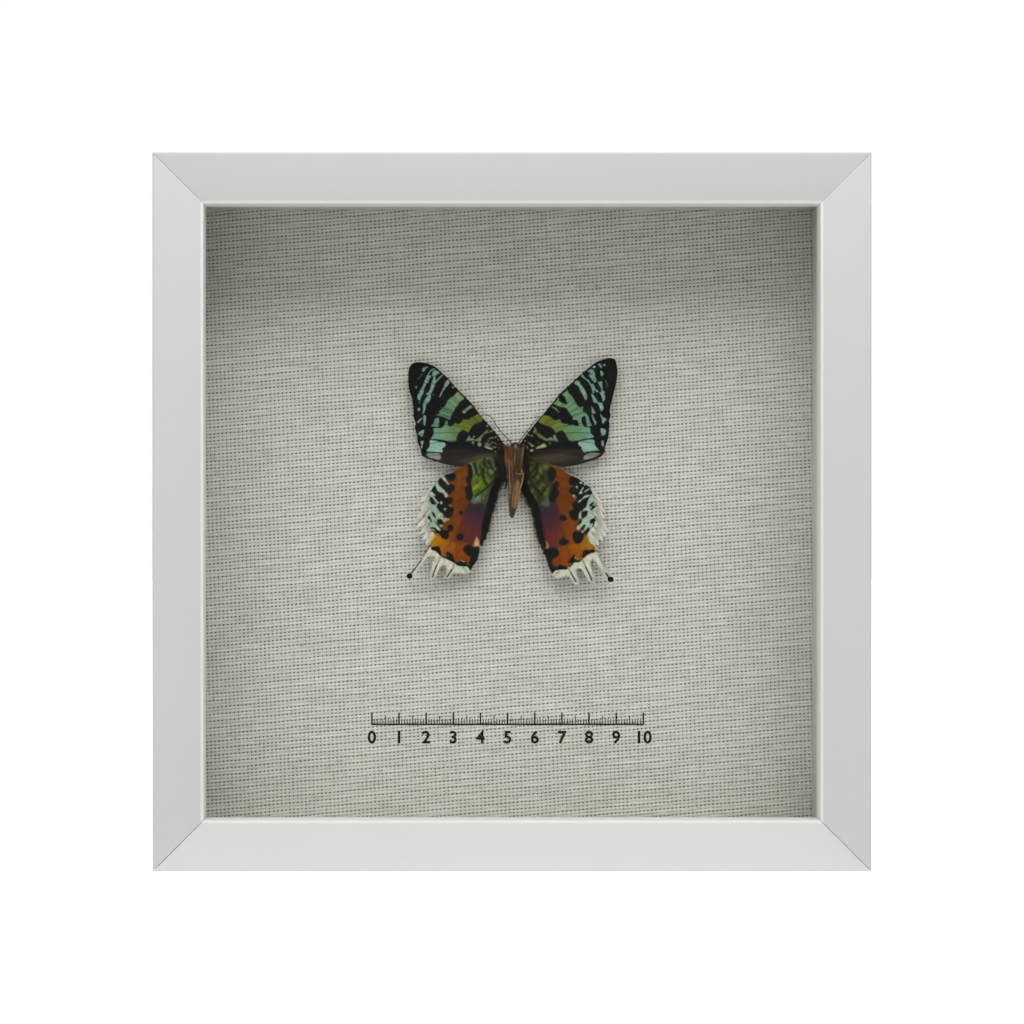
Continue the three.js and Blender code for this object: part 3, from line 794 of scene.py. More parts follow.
def add_sheet(name, outline, ahead, veins, colour):
    """A wing's sheet in one plane, curved a little and ridged along its veins, ready for its colours."""
    curve = rounded(outline)
    low, high = curve.min(axis=0), curve.max(axis=0)
    cells = np.ceil((high - low) / SCALE_GRID).astype(int)
    deselect(action="DESELECT")
    bpy.ops.mesh.primitive_grid_add(x_subdivisions=int(cells[0]), y_subdivisions=int(cells[1]), size=1)
    piece = bpy.context.object
    piece.name = name
    sheet = bmesh.new()
    sheet.from_mesh(piece.data)
    places = low + (np.array([vertex.co[:2] for vertex in sheet.verts]) + 0.5) * (high - low)
    distance = line_distance(places, curve)[0]
    for vertex, place in zip(sheet.verts, places):
        vertex.co = (*place, 0)
    outside = [vertex for vertex, far in zip(sheet.verts, distance) if far < -0.45 * SCALE_GRID]
    bmesh.ops.delete(sheet, geom=outside, context="VERTS")
    loose = [vertex for vertex in sheet.verts if not vertex.link_faces]
    bmesh.ops.delete(sheet, geom=loose, context="VERTS")
    places = np.array([vertex.co[:2] for vertex in sheet.verts])
    rim = np.array([vertex.is_boundary for vertex in sheet.verts])
    nearest = line_distance(places, curve)[1]
    places[rim] = nearest[rim]
    veins = [rounded(vein, closed=False) for vein in veins]
    ridge = np.zeros(len(places))
    for vein in veins:
        ridge = np.maximum(ridge, rise(0.45 - line_distance(places, vein, closed=False)[0], 0, 0.45))
    sway = 0.22 * cloudy(places, 9.0, 4.0) + 0.05 * cloudy(places, 2.0, 5.0)
    steady = rise(np.hypot(*places.T), 6, 20)
    depth = wing_depth(places, ahead) - VEIN_RIDGE * ridge + sway * steady
    for vertex, (u, v), y in zip(sheet.verts, places, depth):
        vertex.co = ((u + MOTH_X) * MM, y * MM, (v + MOTH_Z) * MM)
    bmesh.ops.recalc_face_normals(sheet, faces=sheet.faces)
    sheet.to_mesh(piece.data)
    sheet.free()
    return Skin(piece, places, colour, veins)


def thicken(wing, look):
    """Gives a painted sheet its back, which needs fewer faces than its front."""
    wing.stain(look)
    piece = wing.piece
    front = -1 if piece.data.polygons[0].normal.y < 0 else 1
    apply_modifier(piece, "SOLIDIFY", thickness=WING_THICKNESS * MM, offset=front)
    bpy.ops.object.mode_set(mode="EDIT")
    mesh = bmesh.from_edit_mesh(piece.data)
    for face in mesh.faces:
        face.select = face.normal.y > 0.5
    bmesh.update_edit_mesh(piece.data)
    bpy.ops.mesh.decimate(ratio=BACK_DETAIL)
    bpy.ops.object.mode_set(mode="OBJECT")
    smooth(piece, 60)


scale_look = Finish("wing_scales", {"Specular IOR Level": 0.08})
scale_colour = scale_look.node("ShaderNodeVertexColor", {"layer_name": "scales"}).outputs["Color"]
single_scales = scale_look.noise(0.09, 1)
scale_rows = scale_look.noise(0.22, 2)
scale_look.wear(
    base_color=scale_look.shade(scale_colour, 0.66 + single_scales * 0.42 + scale_rows * 0.26),
    roughness=0.48 + scale_rows * 0.2,
)
scale_look.relief(single_scales * 0.6 + scale_rows * 0.4, 0.03)

BLACK = (15, 15, 15)
MINT = (112, 148, 130)
DEEP_MINT = (92, 128, 108)
PALE_MINT = (130, 165, 147)
LEAF = (104, 139, 98)
OLIVE = (98, 109, 34)
DULL_OLIVE = (112, 118, 66)
GREY = (126, 133, 126)
PALE_GREY = (150, 155, 150)

# Left forewing: black, with mint bands that turn green and olive towards the front edge
FOREWING_LEFT = [
    (-1, 4.6), (-3, 6), (-5, 8.8), (-7, 11.3), (-9, 13.6), (-11, 15.8), (-13.2, 18.7), (-15.5, 21.6),
    (-18.5, 24.6), (-21.5, 27.7), (-24, 30.6), (-26, 32.3), (-28, 34.2), (-29.6, 35.1), (-31.5, 35.8),
    (-33.5, 36.2), (-35.3, 36.3), (-36.6, 35.9), (-37.6, 34.9), (-38.2, 33.5), (-38.4, 31), (-38.3, 28),
    (-37.9, 25.5), (-37.1, 23.2), (-36.7, 21), (-36.4, 18.2), (-36.5, 16.4), (-36, 14.9), (-35.7, 13.6),
    (-36, 12.4), (-35.6, 10.9), (-35.1, 9), (-35, 7.2), (-34.4, 5.7), (-33.9, 4.6), (-33.7, 3.2),
    (-33.2, 2), (-31.8, 1.2), (-30, 0.5), (-28, -0.1), (-25.5, -0.9), (-22, -1.6), (-18, -1.9),
    (-13, -0.8), (-8, 0.2), (-4.5, 0.5), (-1, 0.6),
]
FOREWING_LEFT_VEINS = [
    [(-3, 5), (-10, 12), (-18, 19.5), (-26, 28.5), (-33, 35)],
    [(-3, 5), (-10, 12), (-18, 19), (-27, 27), (-37, 32.5)],
    [(-3, 5), (-10, 11.5), (-18, 17.5), (-28, 24), (-37.5, 27.5)],
    [(-3, 5), (-10, 11), (-18, 16), (-27, 20), (-36.5, 22.5)],
    [(-3, 5), (-10, 10), (-17, 14.3), (-26, 16.8), (-36.3, 18)],
    [(-3, 5), (-9, 8.5), (-17, 12.3), (-26, 13.6), (-35.8, 13.6)],
    [(-3, 5), (-9, 8), (-16, 10), (-25, 10.6), (-35.3, 9.6)],
    [(-3, 5), (-9, 7), (-16, 7.8), (-25, 7.4), (-34.4, 5.7)],
    [(-3, 5), (-10, 4), (-20, 3), (-28, 2.3), (-33, 2)],
]
wing = add_sheet("forewing_left", FOREWING_LEFT, 0, FOREWING_LEFT_VEINS, BLACK)
wing.area(
    wing.ramp((-33, 0), (-6, 0), (30, 28, 26), (40, 34, 31), (30, 27, 23)),
    [(-33, 3), (-26, 4.2), (-18, 4.6), (-9, 4), (-4, 2.6), (-4, 0), (-18, -2.4), (-26, -1.4), (-33, 1)],
    soft=0.8,
)
wing.area(
    wing.ramp((-24, 1), (-5, 2), (34, 30, 28), (60, 53, 43), (68, 64, 48), (50, 47, 36)),
    [(-24, 0.4), (-17, 1.2), (-10, 2.8), (-5, 3), (-5, 1), (-10, 0.6), (-17, -0.6), (-23, -0.8)],
    soft=0.9,
)
for points in (
    [(-33.4, 33.1), (-33.2, 33.9), (-32.4, 34.6), (-31, 34.5), (-31.8, 33.9), (-32.3, 33.1), (-33, 32.8)],
    [(-31.5, 31.7), (-30.6, 31.3), (-29.9, 31.2), (-30.7, 30.3), (-30.9, 29.5), (-31.5, 28.5),
     (-32.3, 28.9), (-32.5, 29.4), (-32, 30.3)],
    [(-32.6, 28.6), (-31.9, 28.2), (-32.4, 27), (-32.7, 26), (-33, 25), (-34.3, 25.4), (-33.8, 26.4),
     (-33, 27.6)],
    [(-33, 24.9), (-33.5, 23.9), (-33.9, 22.7), (-34.3, 22.3), (-34.9, 22.7), (-35, 23.8), (-34.6, 24.8),
     (-34, 25.2)],
    [(-29.2, 33.1), (-28.2, 33.2), (-27.2, 32.7), (-27.1, 32.2), (-28.2, 31.6), (-28.5, 31), (-28.4, 30.2),
     (-28.5, 28.3), (-28.9, 27.2), (-29.3, 26.2), (-29.9, 25), (-30.3, 24.4), (-31.7, 24.4), (-31.6, 24.8),
     (-30.8, 25.8), (-30.3, 26.8), (-30, 28), (-29.6, 29.2), (-29.3, 30.2), (-29.3, 31), (-29.7, 31.6),
     (-29.5, 32.4)],
    [(-31.2, 24.1), (-30.2, 24.2), (-30.2, 23.2), (-30.7, 22), (-31.2, 21.3), (-31.9, 20.8), (-32.1, 19.6),
     (-32.2, 18.9), (-32.6, 17.9), (-32.9, 17.4), (-33.3, 17.6), (-33, 18.6), (-32.9, 19.8), (-33, 20.5),
     (-32.9, 21.2), (-32.5, 22.2), (-31.9, 23.2)],
    [(-32.8, 16.6), (-31.9, 16.6), (-32, 15), (-32.2, 13.2), (-32.7, 13.2), (-32.8, 14.5)],
    [(-34.7, 10.2), (-34, 11.1), (-32.9, 11.4), (-32.6, 11.7), (-32.9, 10), (-33.3, 9), (-33.9, 9.4),
     (-34.7, 9.8)],
):
    wing.area(MINT, points)
wing.area(
    PALE_GREY, [(-33.9, 7), (-32.8, 7.7), (-33, 6.7), (-33.2, 5.2), (-33.6, 4.8), (-33.9, 5.3), (-33.6, 6.3)]
)
wing.line((110, 130, 125), 0.5, [(-30.9, 31.9), (-30.6, 32.6), (-30, 33.3), (-29.2, 33.7), (-28.8, 33.6)])
wing.line((95, 100, 98), 0.5, [(-34.8, 30.2), (-33.2, 31.9)], strength=0.6)
wing.line(MINT, 0.5, [(-28.5, 29), (-25.8, 31.7)])
wing.line(PALE_GREY, 0.5, [(-34.9, 14.3), (-33.5, 15.7)])
wing.spot(PALE_GREY, -34.5, 19, 0.4, 0.6)
wing.spot((90, 95, 92), -34.2, 21.6, 0.35)
wing.spot(GREY, -35.5, 27, 0.35, 0.5)
wing.spot((130, 125, 120), -21.9, 27.1, 0.5, 0.35)
wing.spot((80, 72, 76), -29.2, 24.4, 0.4)
wing.area(
    (128, 152, 128),
    [(-27, 23.7), (-26.7, 23.4), (-26.2, 24.6), (-25.6, 25.8), (-25, 26.5), (-24.4, 27.3), (-23.6, 28.1),
     (-23.3, 29.2), (-24, 29.9), (-24.5, 29.4), (-25.1, 28.4), (-25.5, 27), (-26.2, 26), (-26.6, 24.8)],
)
wing.area(
    wing.ramp((-27, 17), (-19.5, 24), DEEP_MINT, (88, 122, 86), LEAF, (110, 140, 96)),
    [(-20.2, 25.5), (-19.2, 24.5), (-17.9, 23.2), (-18.2, 22.7), (-19.4, 22), (-19.9, 21.3), (-20.1, 20.6),
     (-20.9, 20), (-21.3, 19.2), (-21.8, 18.2), (-22.5, 17.2), (-22.8, 16.2), (-22.9, 15.4), (-23.2, 15.2),
     (-24.5, 15.8), (-25.6, 16.3), (-27, 16.6), (-28.2, 16.8), (-28.2, 17.1), (-27.3, 17.3), (-26.9, 17.7),
     (-27.1, 18.2), (-26.7, 18.8), (-26, 19.2), (-26.6, 19.6), (-25.6, 19.7), (-25, 20.2), (-24.5, 21.2),
     (-24.1, 22.2), (-23, 23.2), (-21.8, 23.9), (-20.9, 24.9)],
)
for streak in ([(-26.4, 18.7), (-22.6, 17.6)], [(-25.6, 19.3), (-22.2, 18.9)], [(-26.8, 17.6), (-24, 16.6)]):
    wing.line((44, 66, 52), 0.28, streak, strength=0.6)
wing.area(
    (98, 134, 114),
    [(-28.4, 15.8), (-27.2, 15.8), (-27.1, 14.8), (-27.2, 13.5), (-27.4, 12.8), (-29.7, 12.7),
     (-30.1, 12.9), (-29.5, 13.6), (-29, 14.4)],
)
wing.area(
    wing.ramp((-29, 10), (-12, 15.5), (100, 142, 116), (102, 138, 104), (90, 118, 76), OLIVE, OLIVE, (90, 98, 38)),
    [(-24.6, 14.9), (-24.1, 14.7), (-23.9, 13.6), (-23.3, 12.8), (-22.5, 12.9), (-21.7, 13.6),
     (-21.1, 14.2), (-20.5, 13.7), (-19.8, 13.8), (-19, 14.3), (-18.4, 15.3), (-17.2, 15.2), (-16, 15.5),
     (-15.2, 16.2), (-14.2, 16.7), (-12.9, 17.4), (-12.4, 17.4), (-11.8, 16.6), (-11.1, 15.5),
     (-11.6, 14.6), (-12.5, 14.2), (-13.6, 13.9), (-14.5, 13.2), (-15.2, 12.7), (-15.6, 11.8),
     (-16.5, 10.7), (-17.2, 11.1), (-18.2, 11.5), (-19.1, 11.2), (-19.7, 10.6), (-20.3, 9.6), (-20.8, 8.6),
     (-20.9, 7.4), (-23.5, 7.3), (-24.6, 7.6), (-26, 7.9), (-27, 8.1), (-29.9, 8.2), (-29.6, 9.2),
     (-29.1, 10), (-29, 11), (-29.2, 12.2), (-26.8, 12.2), (-25.7, 12.6), (-25.2, 13.4), (-24.9, 14.2)],
)
wing.area(
    PALE_MINT,
    [(-30.4, 7.8), (-29.2, 7.7), (-28, 7.5), (-27, 7.2), (-26, 7), (-25.2, 6.9), (-24.8, 6.3), (-24.9, 5.6),
     (-25.4, 5.1), (-26, 4.7), (-25.8, 4), (-26.1, 3.3), (-28, 3.5), (-30, 3.5), (-31.5, 3.7), (-31.7, 4),
     (-31, 4.8), (-30.6, 5.8), (-30.5, 6.8)],
)
wing.area(
    GREY,
    [(-31.8, 2.2), (-31.2, 2.9), (-30, 3), (-28.5, 3.1), (-27.2, 2.9), (-26.5, 2.3), (-26.3, 1.6),
     (-26.6, 0.9), (-27.3, 0.5), (-28.2, 0.7), (-30, 1.2), (-31.3, 1.7)],
    soft=0.3,
)
wing.area(
    (118, 142, 110),
    [(-18.5, 18.2), (-18, 18.9), (-17.2, 19.5), (-16.3, 20.2), (-15.8, 20.6), (-15, 20.2), (-14.9, 19.7),
     (-16.4, 19), (-17, 18.2), (-17.6, 17.6), (-18.3, 17.7)],
)
wing.area(
    wing.ramp((-17, 7.5), (-9, 11.5), (108, 134, 104), (112, 128, 84), DULL_OLIVE),
    [(-17.4, 7.5), (-16.7, 8.3), (-16.2, 9.5), (-15.8, 9.2), (-15.6, 8.5), (-14.8, 8.5), (-14.2, 8.1),
     (-13.5, 8.1), (-13, 8.4), (-12.4, 9), (-11.6, 9.6), (-10.9, 10.4), (-10.2, 11), (-9.7, 11.6),
     (-9.2, 11.7), (-8.8, 11.2), (-8.4, 10.4), (-9.4, 10.3), (-10.3, 10.1), (-10.9, 9.4), (-11.5, 8.6),
     (-11.8, 7.8), (-12, 7.2), (-12.8, 7.2), (-13.6, 7.5), (-16.2, 7.5)],
)
for u, v, radius in (
    (-12.3, 6.2, 0.75), (-14.7, 6.8, 0.45), (-14.3, 9.1, 0.35), (-9.4, 13, 0.42), (-7.9, 11.1, 0.45),
    (-5.5, 7.9, 0.3), (-4.8, 6.5, 0.42), (-3.8, 5.1, 0.32), (-6.4, 3.6, 0.32),
):
    wing.spot((124, 134, 104), u, v, radius, soft=0.25)
wing.area((74, 78, 48), [(-10.3, 6.8), (-9.2, 6.6), (-8.2, 5.8), (-8.6, 5.2), (-10.2, 5.6)], soft=0.4)
for colour, width, arc in (
    ((104, 108, 92), 0.42, [(-9.7, 6.4), (-9.3, 7.1), (-8.9, 7.9), (-8.5, 8.4)]),
    ((146, 152, 112), 0.5, [(-8.4, 8.5), (-7.6, 8.7), (-6.9, 8.6), (-6.2, 9)]),
    ((112, 118, 84), 0.5, [(-9.2, 6), (-8.4, 6.4), (-7.8, 6.9), (-6.9, 7), (-6.4, 6.8), (-6.2, 6.2)]),
    ((94, 106, 80), 0.7, [(-7.4, 5.2), (-6.5, 5.2)]),
    ((86, 92, 64), 0.4, [(-5.4, 5.2), (-4.9, 4.2), (-4.6, 3.4)]),
    ((176, 182, 128), 0.5, [(-10.3, 5.4), (-9.2, 5), (-7.7, 4.5)]),
):
    wing.line(colour, width, arc, soft=0.3)
wing.vein_lines(0.55)
wing.line((24, 24, 24), 0.5, FOREWING_LEFT[1:16])
thicken(wing, scale_look)

# Right forewing
FOREWING_RIGHT = [
    (1.4, 5), (2.4, 6.2), (3.6, 7.9), (5.4, 10.4), (7.4, 13), (9.2, 15.3), (11.2, 17.5), (13, 19.7),
    (15.2, 22.4), (17.3, 24.9), (20, 27.4), (22.6, 29.8), (24.9, 31.9), (27, 33.7), (30.1, 36.1),
    (31.6, 36.8), (33.5, 37.4), (35, 37.8), (36.4, 37.6), (37.3, 37.1), (37.8, 35.8), (38.1, 34),
    (38.2, 32.3), (38, 30.4), (37.6, 28.2), (37, 25.6), (36.4, 23.2), (35.8, 20.8), (35.4, 18.6),
    (35.7, 17), (35.4, 15.8), (35.1, 14.8), (35.3, 13.4), (35.1, 11.8), (35, 10), (34.7, 8.2),
    (34.2, 6.6), (33.6, 5.2), (33.6, 3.8), (33.1, 2.8), (32.2, 1.8), (30.6, 0.9), (29, 0.4), (27, -0.3),
    (24.5, -1), (21, -1.7), (17.5, -1.9), (13, -0.8), (8, 0.4), (4.5, 0.8), (1.4, 0.8),
]
FOREWING_RIGHT_VEINS = [
    [(3, 5), (10, 12.5), (18, 20.5), (26, 29.5), (34, 36.8)],
    [(3, 5), (10, 12), (18, 19.5), (27, 28), (37.6, 33.5)],
    [(3, 5), (10, 11.5), (18, 18), (28, 25), (37.5, 28)],
    [(3, 5), (10, 11), (18, 16.5), (27, 21), (36.2, 22.5)],
    [(3, 5), (10, 10.5), (17, 14.8), (26, 17.6), (35.5, 17.8)],
    [(3, 5), (9, 9), (17, 12.6), (26, 14), (35.2, 13.4)],
    [(3, 5), (9, 8), (16, 10), (25, 10.6), (34.9, 9.4)],
    [(3, 5), (9, 7), (16, 7.8), (25, 7.4), (33.9, 5.6)],
    [(3, 5), (10, 4), (20, 3), (28, 2.3), (33, 2.6)],
]
wing = add_sheet("forewing_right", FOREWING_RIGHT, 0, FOREWING_RIGHT_VEINS, BLACK)
wing.area(
    wing.ramp((33, 0), (6, 0), (30, 28, 26), (40, 34, 30), (30, 27, 22)),
    [(33, 3.2), (26, 4.4), (18, 4.8), (9, 4), (4, 2.6), (4, 0.4), (18, -2.4), (26, -1.2), (33, 1.4)],
    soft=0.8,
)
wing.area(
    wing.ramp((25, 3), (6, 1), (36, 31, 28), (58, 49, 40), (66, 58, 46), (48, 43, 32)),
    [(26, 1.8), (20, 3.3), (14, 2.6), (8, 2), (6, 0.8), (10, 0.2), (15, -0.4), (20, 0), (25, 0.4)],
    soft=0.9,
)
for points in (
    [(31, 35.5), (31.5, 35.8), (32.2, 35.3), (32.5, 34.5), (32.2, 34), (31.8, 34.3), (31.4, 35)],
    [(31.9, 33.2), (32.5, 32.9), (33, 32.2), (33, 31.5), (32.5, 31), (32.2, 31.6), (32, 32.4)],
    [(27.1, 32.8), (27.6, 33.2), (28.4, 33.8), (29.1, 33.6), (29.7, 32.8), (30, 31.6), (30.3, 30.6),
     (30.6, 29.8), (30.4, 29.1), (29.8, 28.9), (29.2, 29.4), (28.7, 30.2), (28.1, 30.8), (27.7, 31.3),
     (28, 31.9), (28.4, 32.2), (28, 32.7)],
    [(24.8, 31.1), (25.4, 31.8), (25.8, 31.4), (26.6, 30.4), (27.5, 29.8), (28.2, 29), (28.8, 28.2),
     (29.2, 28.4), (29.6, 27.8), (30, 26.9), (30.5, 26.3), (31.1, 25.5), (30.8, 25.3), (30.3, 25.7),
     (30, 26.2), (29.8, 25.6), (29.6, 25), (29.2, 24.9), (29, 25.8), (28.7, 26.8), (28.3, 27.8),
     (27.6, 28.8), (26.9, 29.6), (25.9, 30.3), (25.2, 30.9)],
    [(28.6, 24.6), (29.1, 24.7), (29.7, 24), (30.2, 23.2), (31, 22), (32, 21.5), (32.8, 21.2),
     (32.9, 20.4), (33.2, 19.4), (33, 18.9), (32.4, 18.3), (32, 18.5), (31.8, 19.4), (31.6, 20.3),
     (31, 20.9), (30.4, 21.4), (29.8, 21.3), (29.3, 22.3), (28.9, 23.4)],
    [(30.9, 28.8), (31.2, 29.2), (31.7, 29), (32.3, 29.4), (32.6, 28.7), (32.5, 27.9), (32.9, 26.9),
     (32.8, 26), (33.5, 25.6), (33.4, 24.6), (33.7, 23.6), (33.6, 22.7), (33.1, 21.8), (32.6, 22),
     (32.7, 22.8), (32.4, 23.7), (32, 24.6), (31.6, 25), (31.8, 25.4), (32.3, 25.5), (32.2, 26.4),
     (31.9, 27.3), (31.5, 28.1)],
    [(28.5, 20.3), (29, 19.9), (29.5, 19), (30.1, 18.1), (30.1, 17.6), (29, 17.5), (28.8, 18.4),
     (28.9, 19.3)],
    [(28.9, 17.2), (29.3, 16.6), (29.7, 15.7), (30.3, 14.8), (30.6, 14), (30.3, 13.3), (29.9, 13.5),
     (29.7, 14.4), (29.2, 15.4), (28.9, 16.4)],
    [(31.8, 17.3), (32.3, 16.9), (33, 16.2), (33.6, 16), (34.2, 15.5), (34.2, 15.1), (33.6, 14.7),
     (33.3, 14), (32.9, 13.8), (32.5, 14.3), (32.6, 15.1), (32.4, 15.9)],
    [(32, 12), (32.6, 12.2), (33.4, 11.8), (34.1, 11.5), (34, 10.8), (33.8, 10), (33.2, 9.4),
     (32.5, 9.4), (32.3, 10.2), (32.1, 11.1)],
):
    wing.area(MINT, points)
wing.spot(GREY, 33.4, 35.3, 0.4)
wing.spot((160, 190, 175), 29.7, 34.5, 0.5, 0.4)
wing.spot((165, 195, 180), 30.7, 25.7, 0.35)
wing.spot((160, 190, 175), 32, 19.8, 0.35)
wing.line((100, 110, 106), 0.5, [(33.8, 29.5), (34.5, 28), (34.2, 26.9)], strength=0.6)
wing.spot(GREY, 32.8, 6.6, 0.55, 1.1)
wing.spot(PALE_GREY, 32.8, 5.9, 0.4)
wing.area(
    (122, 152, 124),
    [(22.3, 28.6), (22.9, 29.3), (23.4, 29.7), (24.1, 29.2), (24.6, 28.6), (25, 27.9), (25.6, 27.2),
     (26.1, 26.4), (26.6, 25.2), (27.1, 23.9), (27, 22.7), (26.7, 22.5), (26.2, 23), (25.7, 24),
     (25.4, 24.9), (24.7, 25.5), (24.5, 26.5), (24, 27.4), (23.2, 28)],
)
wing.area(
    wing.ramp((28, 14), (16, 23), (98, 136, 116), (97, 136, 107), (99, 135, 98), LEAF, (110, 138, 92)),
    [(18, 24.4), (18.5, 25), (19.4, 25.6), (19.9, 26.1), (20.2, 25.4), (20.7, 24.7), (21.5, 24), (22, 23.3),
     (22.4, 22.5), (22.9, 21.7), (23.4, 20.8), (24, 20.2), (24.7, 19.8), (25.3, 20.3), (25.7, 19.9),
     (25.5, 19), (25.6, 18.2), (26.6, 17.8), (27.1, 17.2), (27.6, 16.4), (27.9, 15.3), (28.3, 14.2),
     (28.8, 13.7), (28.6, 13.1), (27.2, 12.9), (27, 13.9), (26.8, 15.1), (26.6, 16.2), (26.3, 16.6),
     (25.3, 16.3), (25, 15.6), (25.1, 14.6), (25.5, 13.6), (25.8, 12.9), (24.2, 13.1), (24, 13.8),
     (23.9, 14.5), (23.3, 15.1), (22.6, 15.3), (22.1, 15.1), (21.8, 15.4), (22, 16.3), (21.5, 16.8),
     (20.8, 17.6), (20.2, 18.4), (19.7, 19.2), (19.1, 19.7), (18.2, 19.8), (17, 20), (16, 20.6),
     (15.2, 20.9), (14.6, 21), (15.2, 21.4), (16, 22.4), (16.6, 23.1), (16.9, 22.9), (16.8, 22),
     (17.3, 21.8), (18.2, 21.2), (19, 21), (20.2, 21), (19.9, 21.1), (19.7, 21.8), (19.3, 22.8),
     (19, 23.7)],
)
for streak in ([(25.9, 18.2), (22.6, 17.2)], [(25.2, 19.4), (21.8, 18.6)]):
    wing.line((44, 66, 52), 0.28, streak, strength=0.6)
wing.area(
    (118, 136, 96),
    [(14, 20.2), (14.9, 20), (15.9, 19.3), (16.7, 18.4), (17, 18), (16.6, 17.9), (16, 18.6), (15.2, 19.3),
     (14.3, 19.8)],
)
wing.area(
    wing.ramp((10, 15.5), (29, 10), (106, 114, 36), (104, 114, 38), (96, 120, 64), (94, 128, 86), (96, 136, 102),
              (106, 146, 126)),
    [(9.4, 14.8), (10, 15.4), (10.5, 16.2), (11.2, 16.9), (12.1, 16.8), (13, 16.6), (13.8, 16.3),
     (14.4, 15.6), (15.2, 15.2), (16.2, 15.1), (17, 15.4), (17.6, 14.8), (17.6, 14.2), (18.3, 14),
     (19, 13.7), (19.8, 13.8), (20.4, 13.3), (21.2, 13.2), (21.8, 13.5), (22.8, 13), (24.1, 13),
     (25.8, 12.8), (27, 12.5), (28.2, 12.4), (28.2, 11.6), (28.3, 10.9), (28.6, 10.2), (29.2, 9.6),
     (29.7, 8.9), (29, 8.6), (27.5, 8.4), (26.3, 8.3), (25, 8), (24, 7.7), (22.5, 7.4), (21, 7.4),
     (20.4, 7.8), (20, 8.6), (19.5, 9.5), (19, 10.4), (18.4, 11.1), (17.6, 11.3), (16.8, 11), (16, 10.6),
     (15.6, 10.4), (15.3, 11.2), (14.6, 11.9), (13.9, 12.5), (12.8, 12.9), (11.8, 13.2), (10.6, 13.7),
     (9.8, 14.2)],
)
wing.area(
    PALE_MINT,
    [(23.8, 6.5), (24.2, 7.2), (25.2, 7.5), (26.5, 7.8), (28, 7.9), (29.3, 8), (29.8, 7.6), (29.9, 6.6),
     (30, 5.9), (30.5, 5.2), (31.1, 4.6), (31.4, 4.1), (30.5, 3.9), (29, 3.8), (27.5, 3.6), (26.3, 3.4),
     (25.6, 3.8), (25.2, 4.6), (25, 5.3), (24.3, 5.7)],
)
wing.area(
    GREY,
    [(25.8, 0.8), (26, 1.8), (26.8, 2.5), (28, 3), (29.5, 3.1), (31, 2.9), (31.8, 2.7), (31, 2.2),
     (29.7, 1.5), (28, 0.9), (26.8, 0.6)],
    soft=0.3,
)
wing.area(
    wing.ramp((8, 11), (16, 8), (102, 112, 54), (108, 122, 78), (110, 134, 104)),
    [(7.7, 12.6), (8.2, 12.2), (8.6, 11.4), (9.2, 10.6), (10.1, 9.8), (11, 9.1), (11.9, 8.5), (12.9, 8.3),
     (13.6, 8.9), (14.1, 8.9), (14.4, 8.4), (14.8, 8.6), (14.7, 9.5), (15.3, 9.8), (15.7, 9.2), (16, 8.3),
     (16.8, 7.8), (16.4, 7.4), (15.2, 7.5), (12.9, 7.5), (11.9, 7.6), (11.2, 8), (10.3, 8.4), (9.4, 8.9),
     (8.6, 9.7), (7.8, 10.3), (7.1, 10.9), (7.6, 11.2), (7.8, 11.9)],
)
wing.area(
    (146, 158, 108),
    [(8.4, 4.9), (8.8, 5.3), (9.5, 5.6), (10.6, 6.2), (11.3, 6.6), (11.9, 6.1), (12.4, 5.6), (11.8, 5.2),
     (11, 5.1), (10, 4.9), (8.9, 4.6)],
)
wing.area(
    (122, 128, 76),
    [(5, 6.9), (5.7, 7.3), (6.4, 6.8), (7, 6.2), (7.6, 5.8), (8.1, 5.7), (7.5, 5.4), (6.7, 5.5), (6.2, 6.1),
     (5.6, 6.5)],
)
wing.spot((165, 168, 118), 6.9, 4.1, 0.7, 0.45)
for u, v, radius in ((7, 9.3, 0.5), (5.7, 9.7, 0.4), (4.4, 7.5, 0.35)):
    wing.spot((124, 132, 78), u, v, radius)
wing.spot((62, 66, 60), 9.2, 6.8, 0.4)
wing.spot((62, 84, 66), 13.5, 6.6, 0.5)
wing.line((122, 126, 78), 0.35, [(5.2, 5.6), (5.4, 4.6)])
wing.vein_lines(0.55)
wing.line((24, 24, 24), 0.5, FOREWING_RIGHT[1:18])
thicken(wing, scale_look)

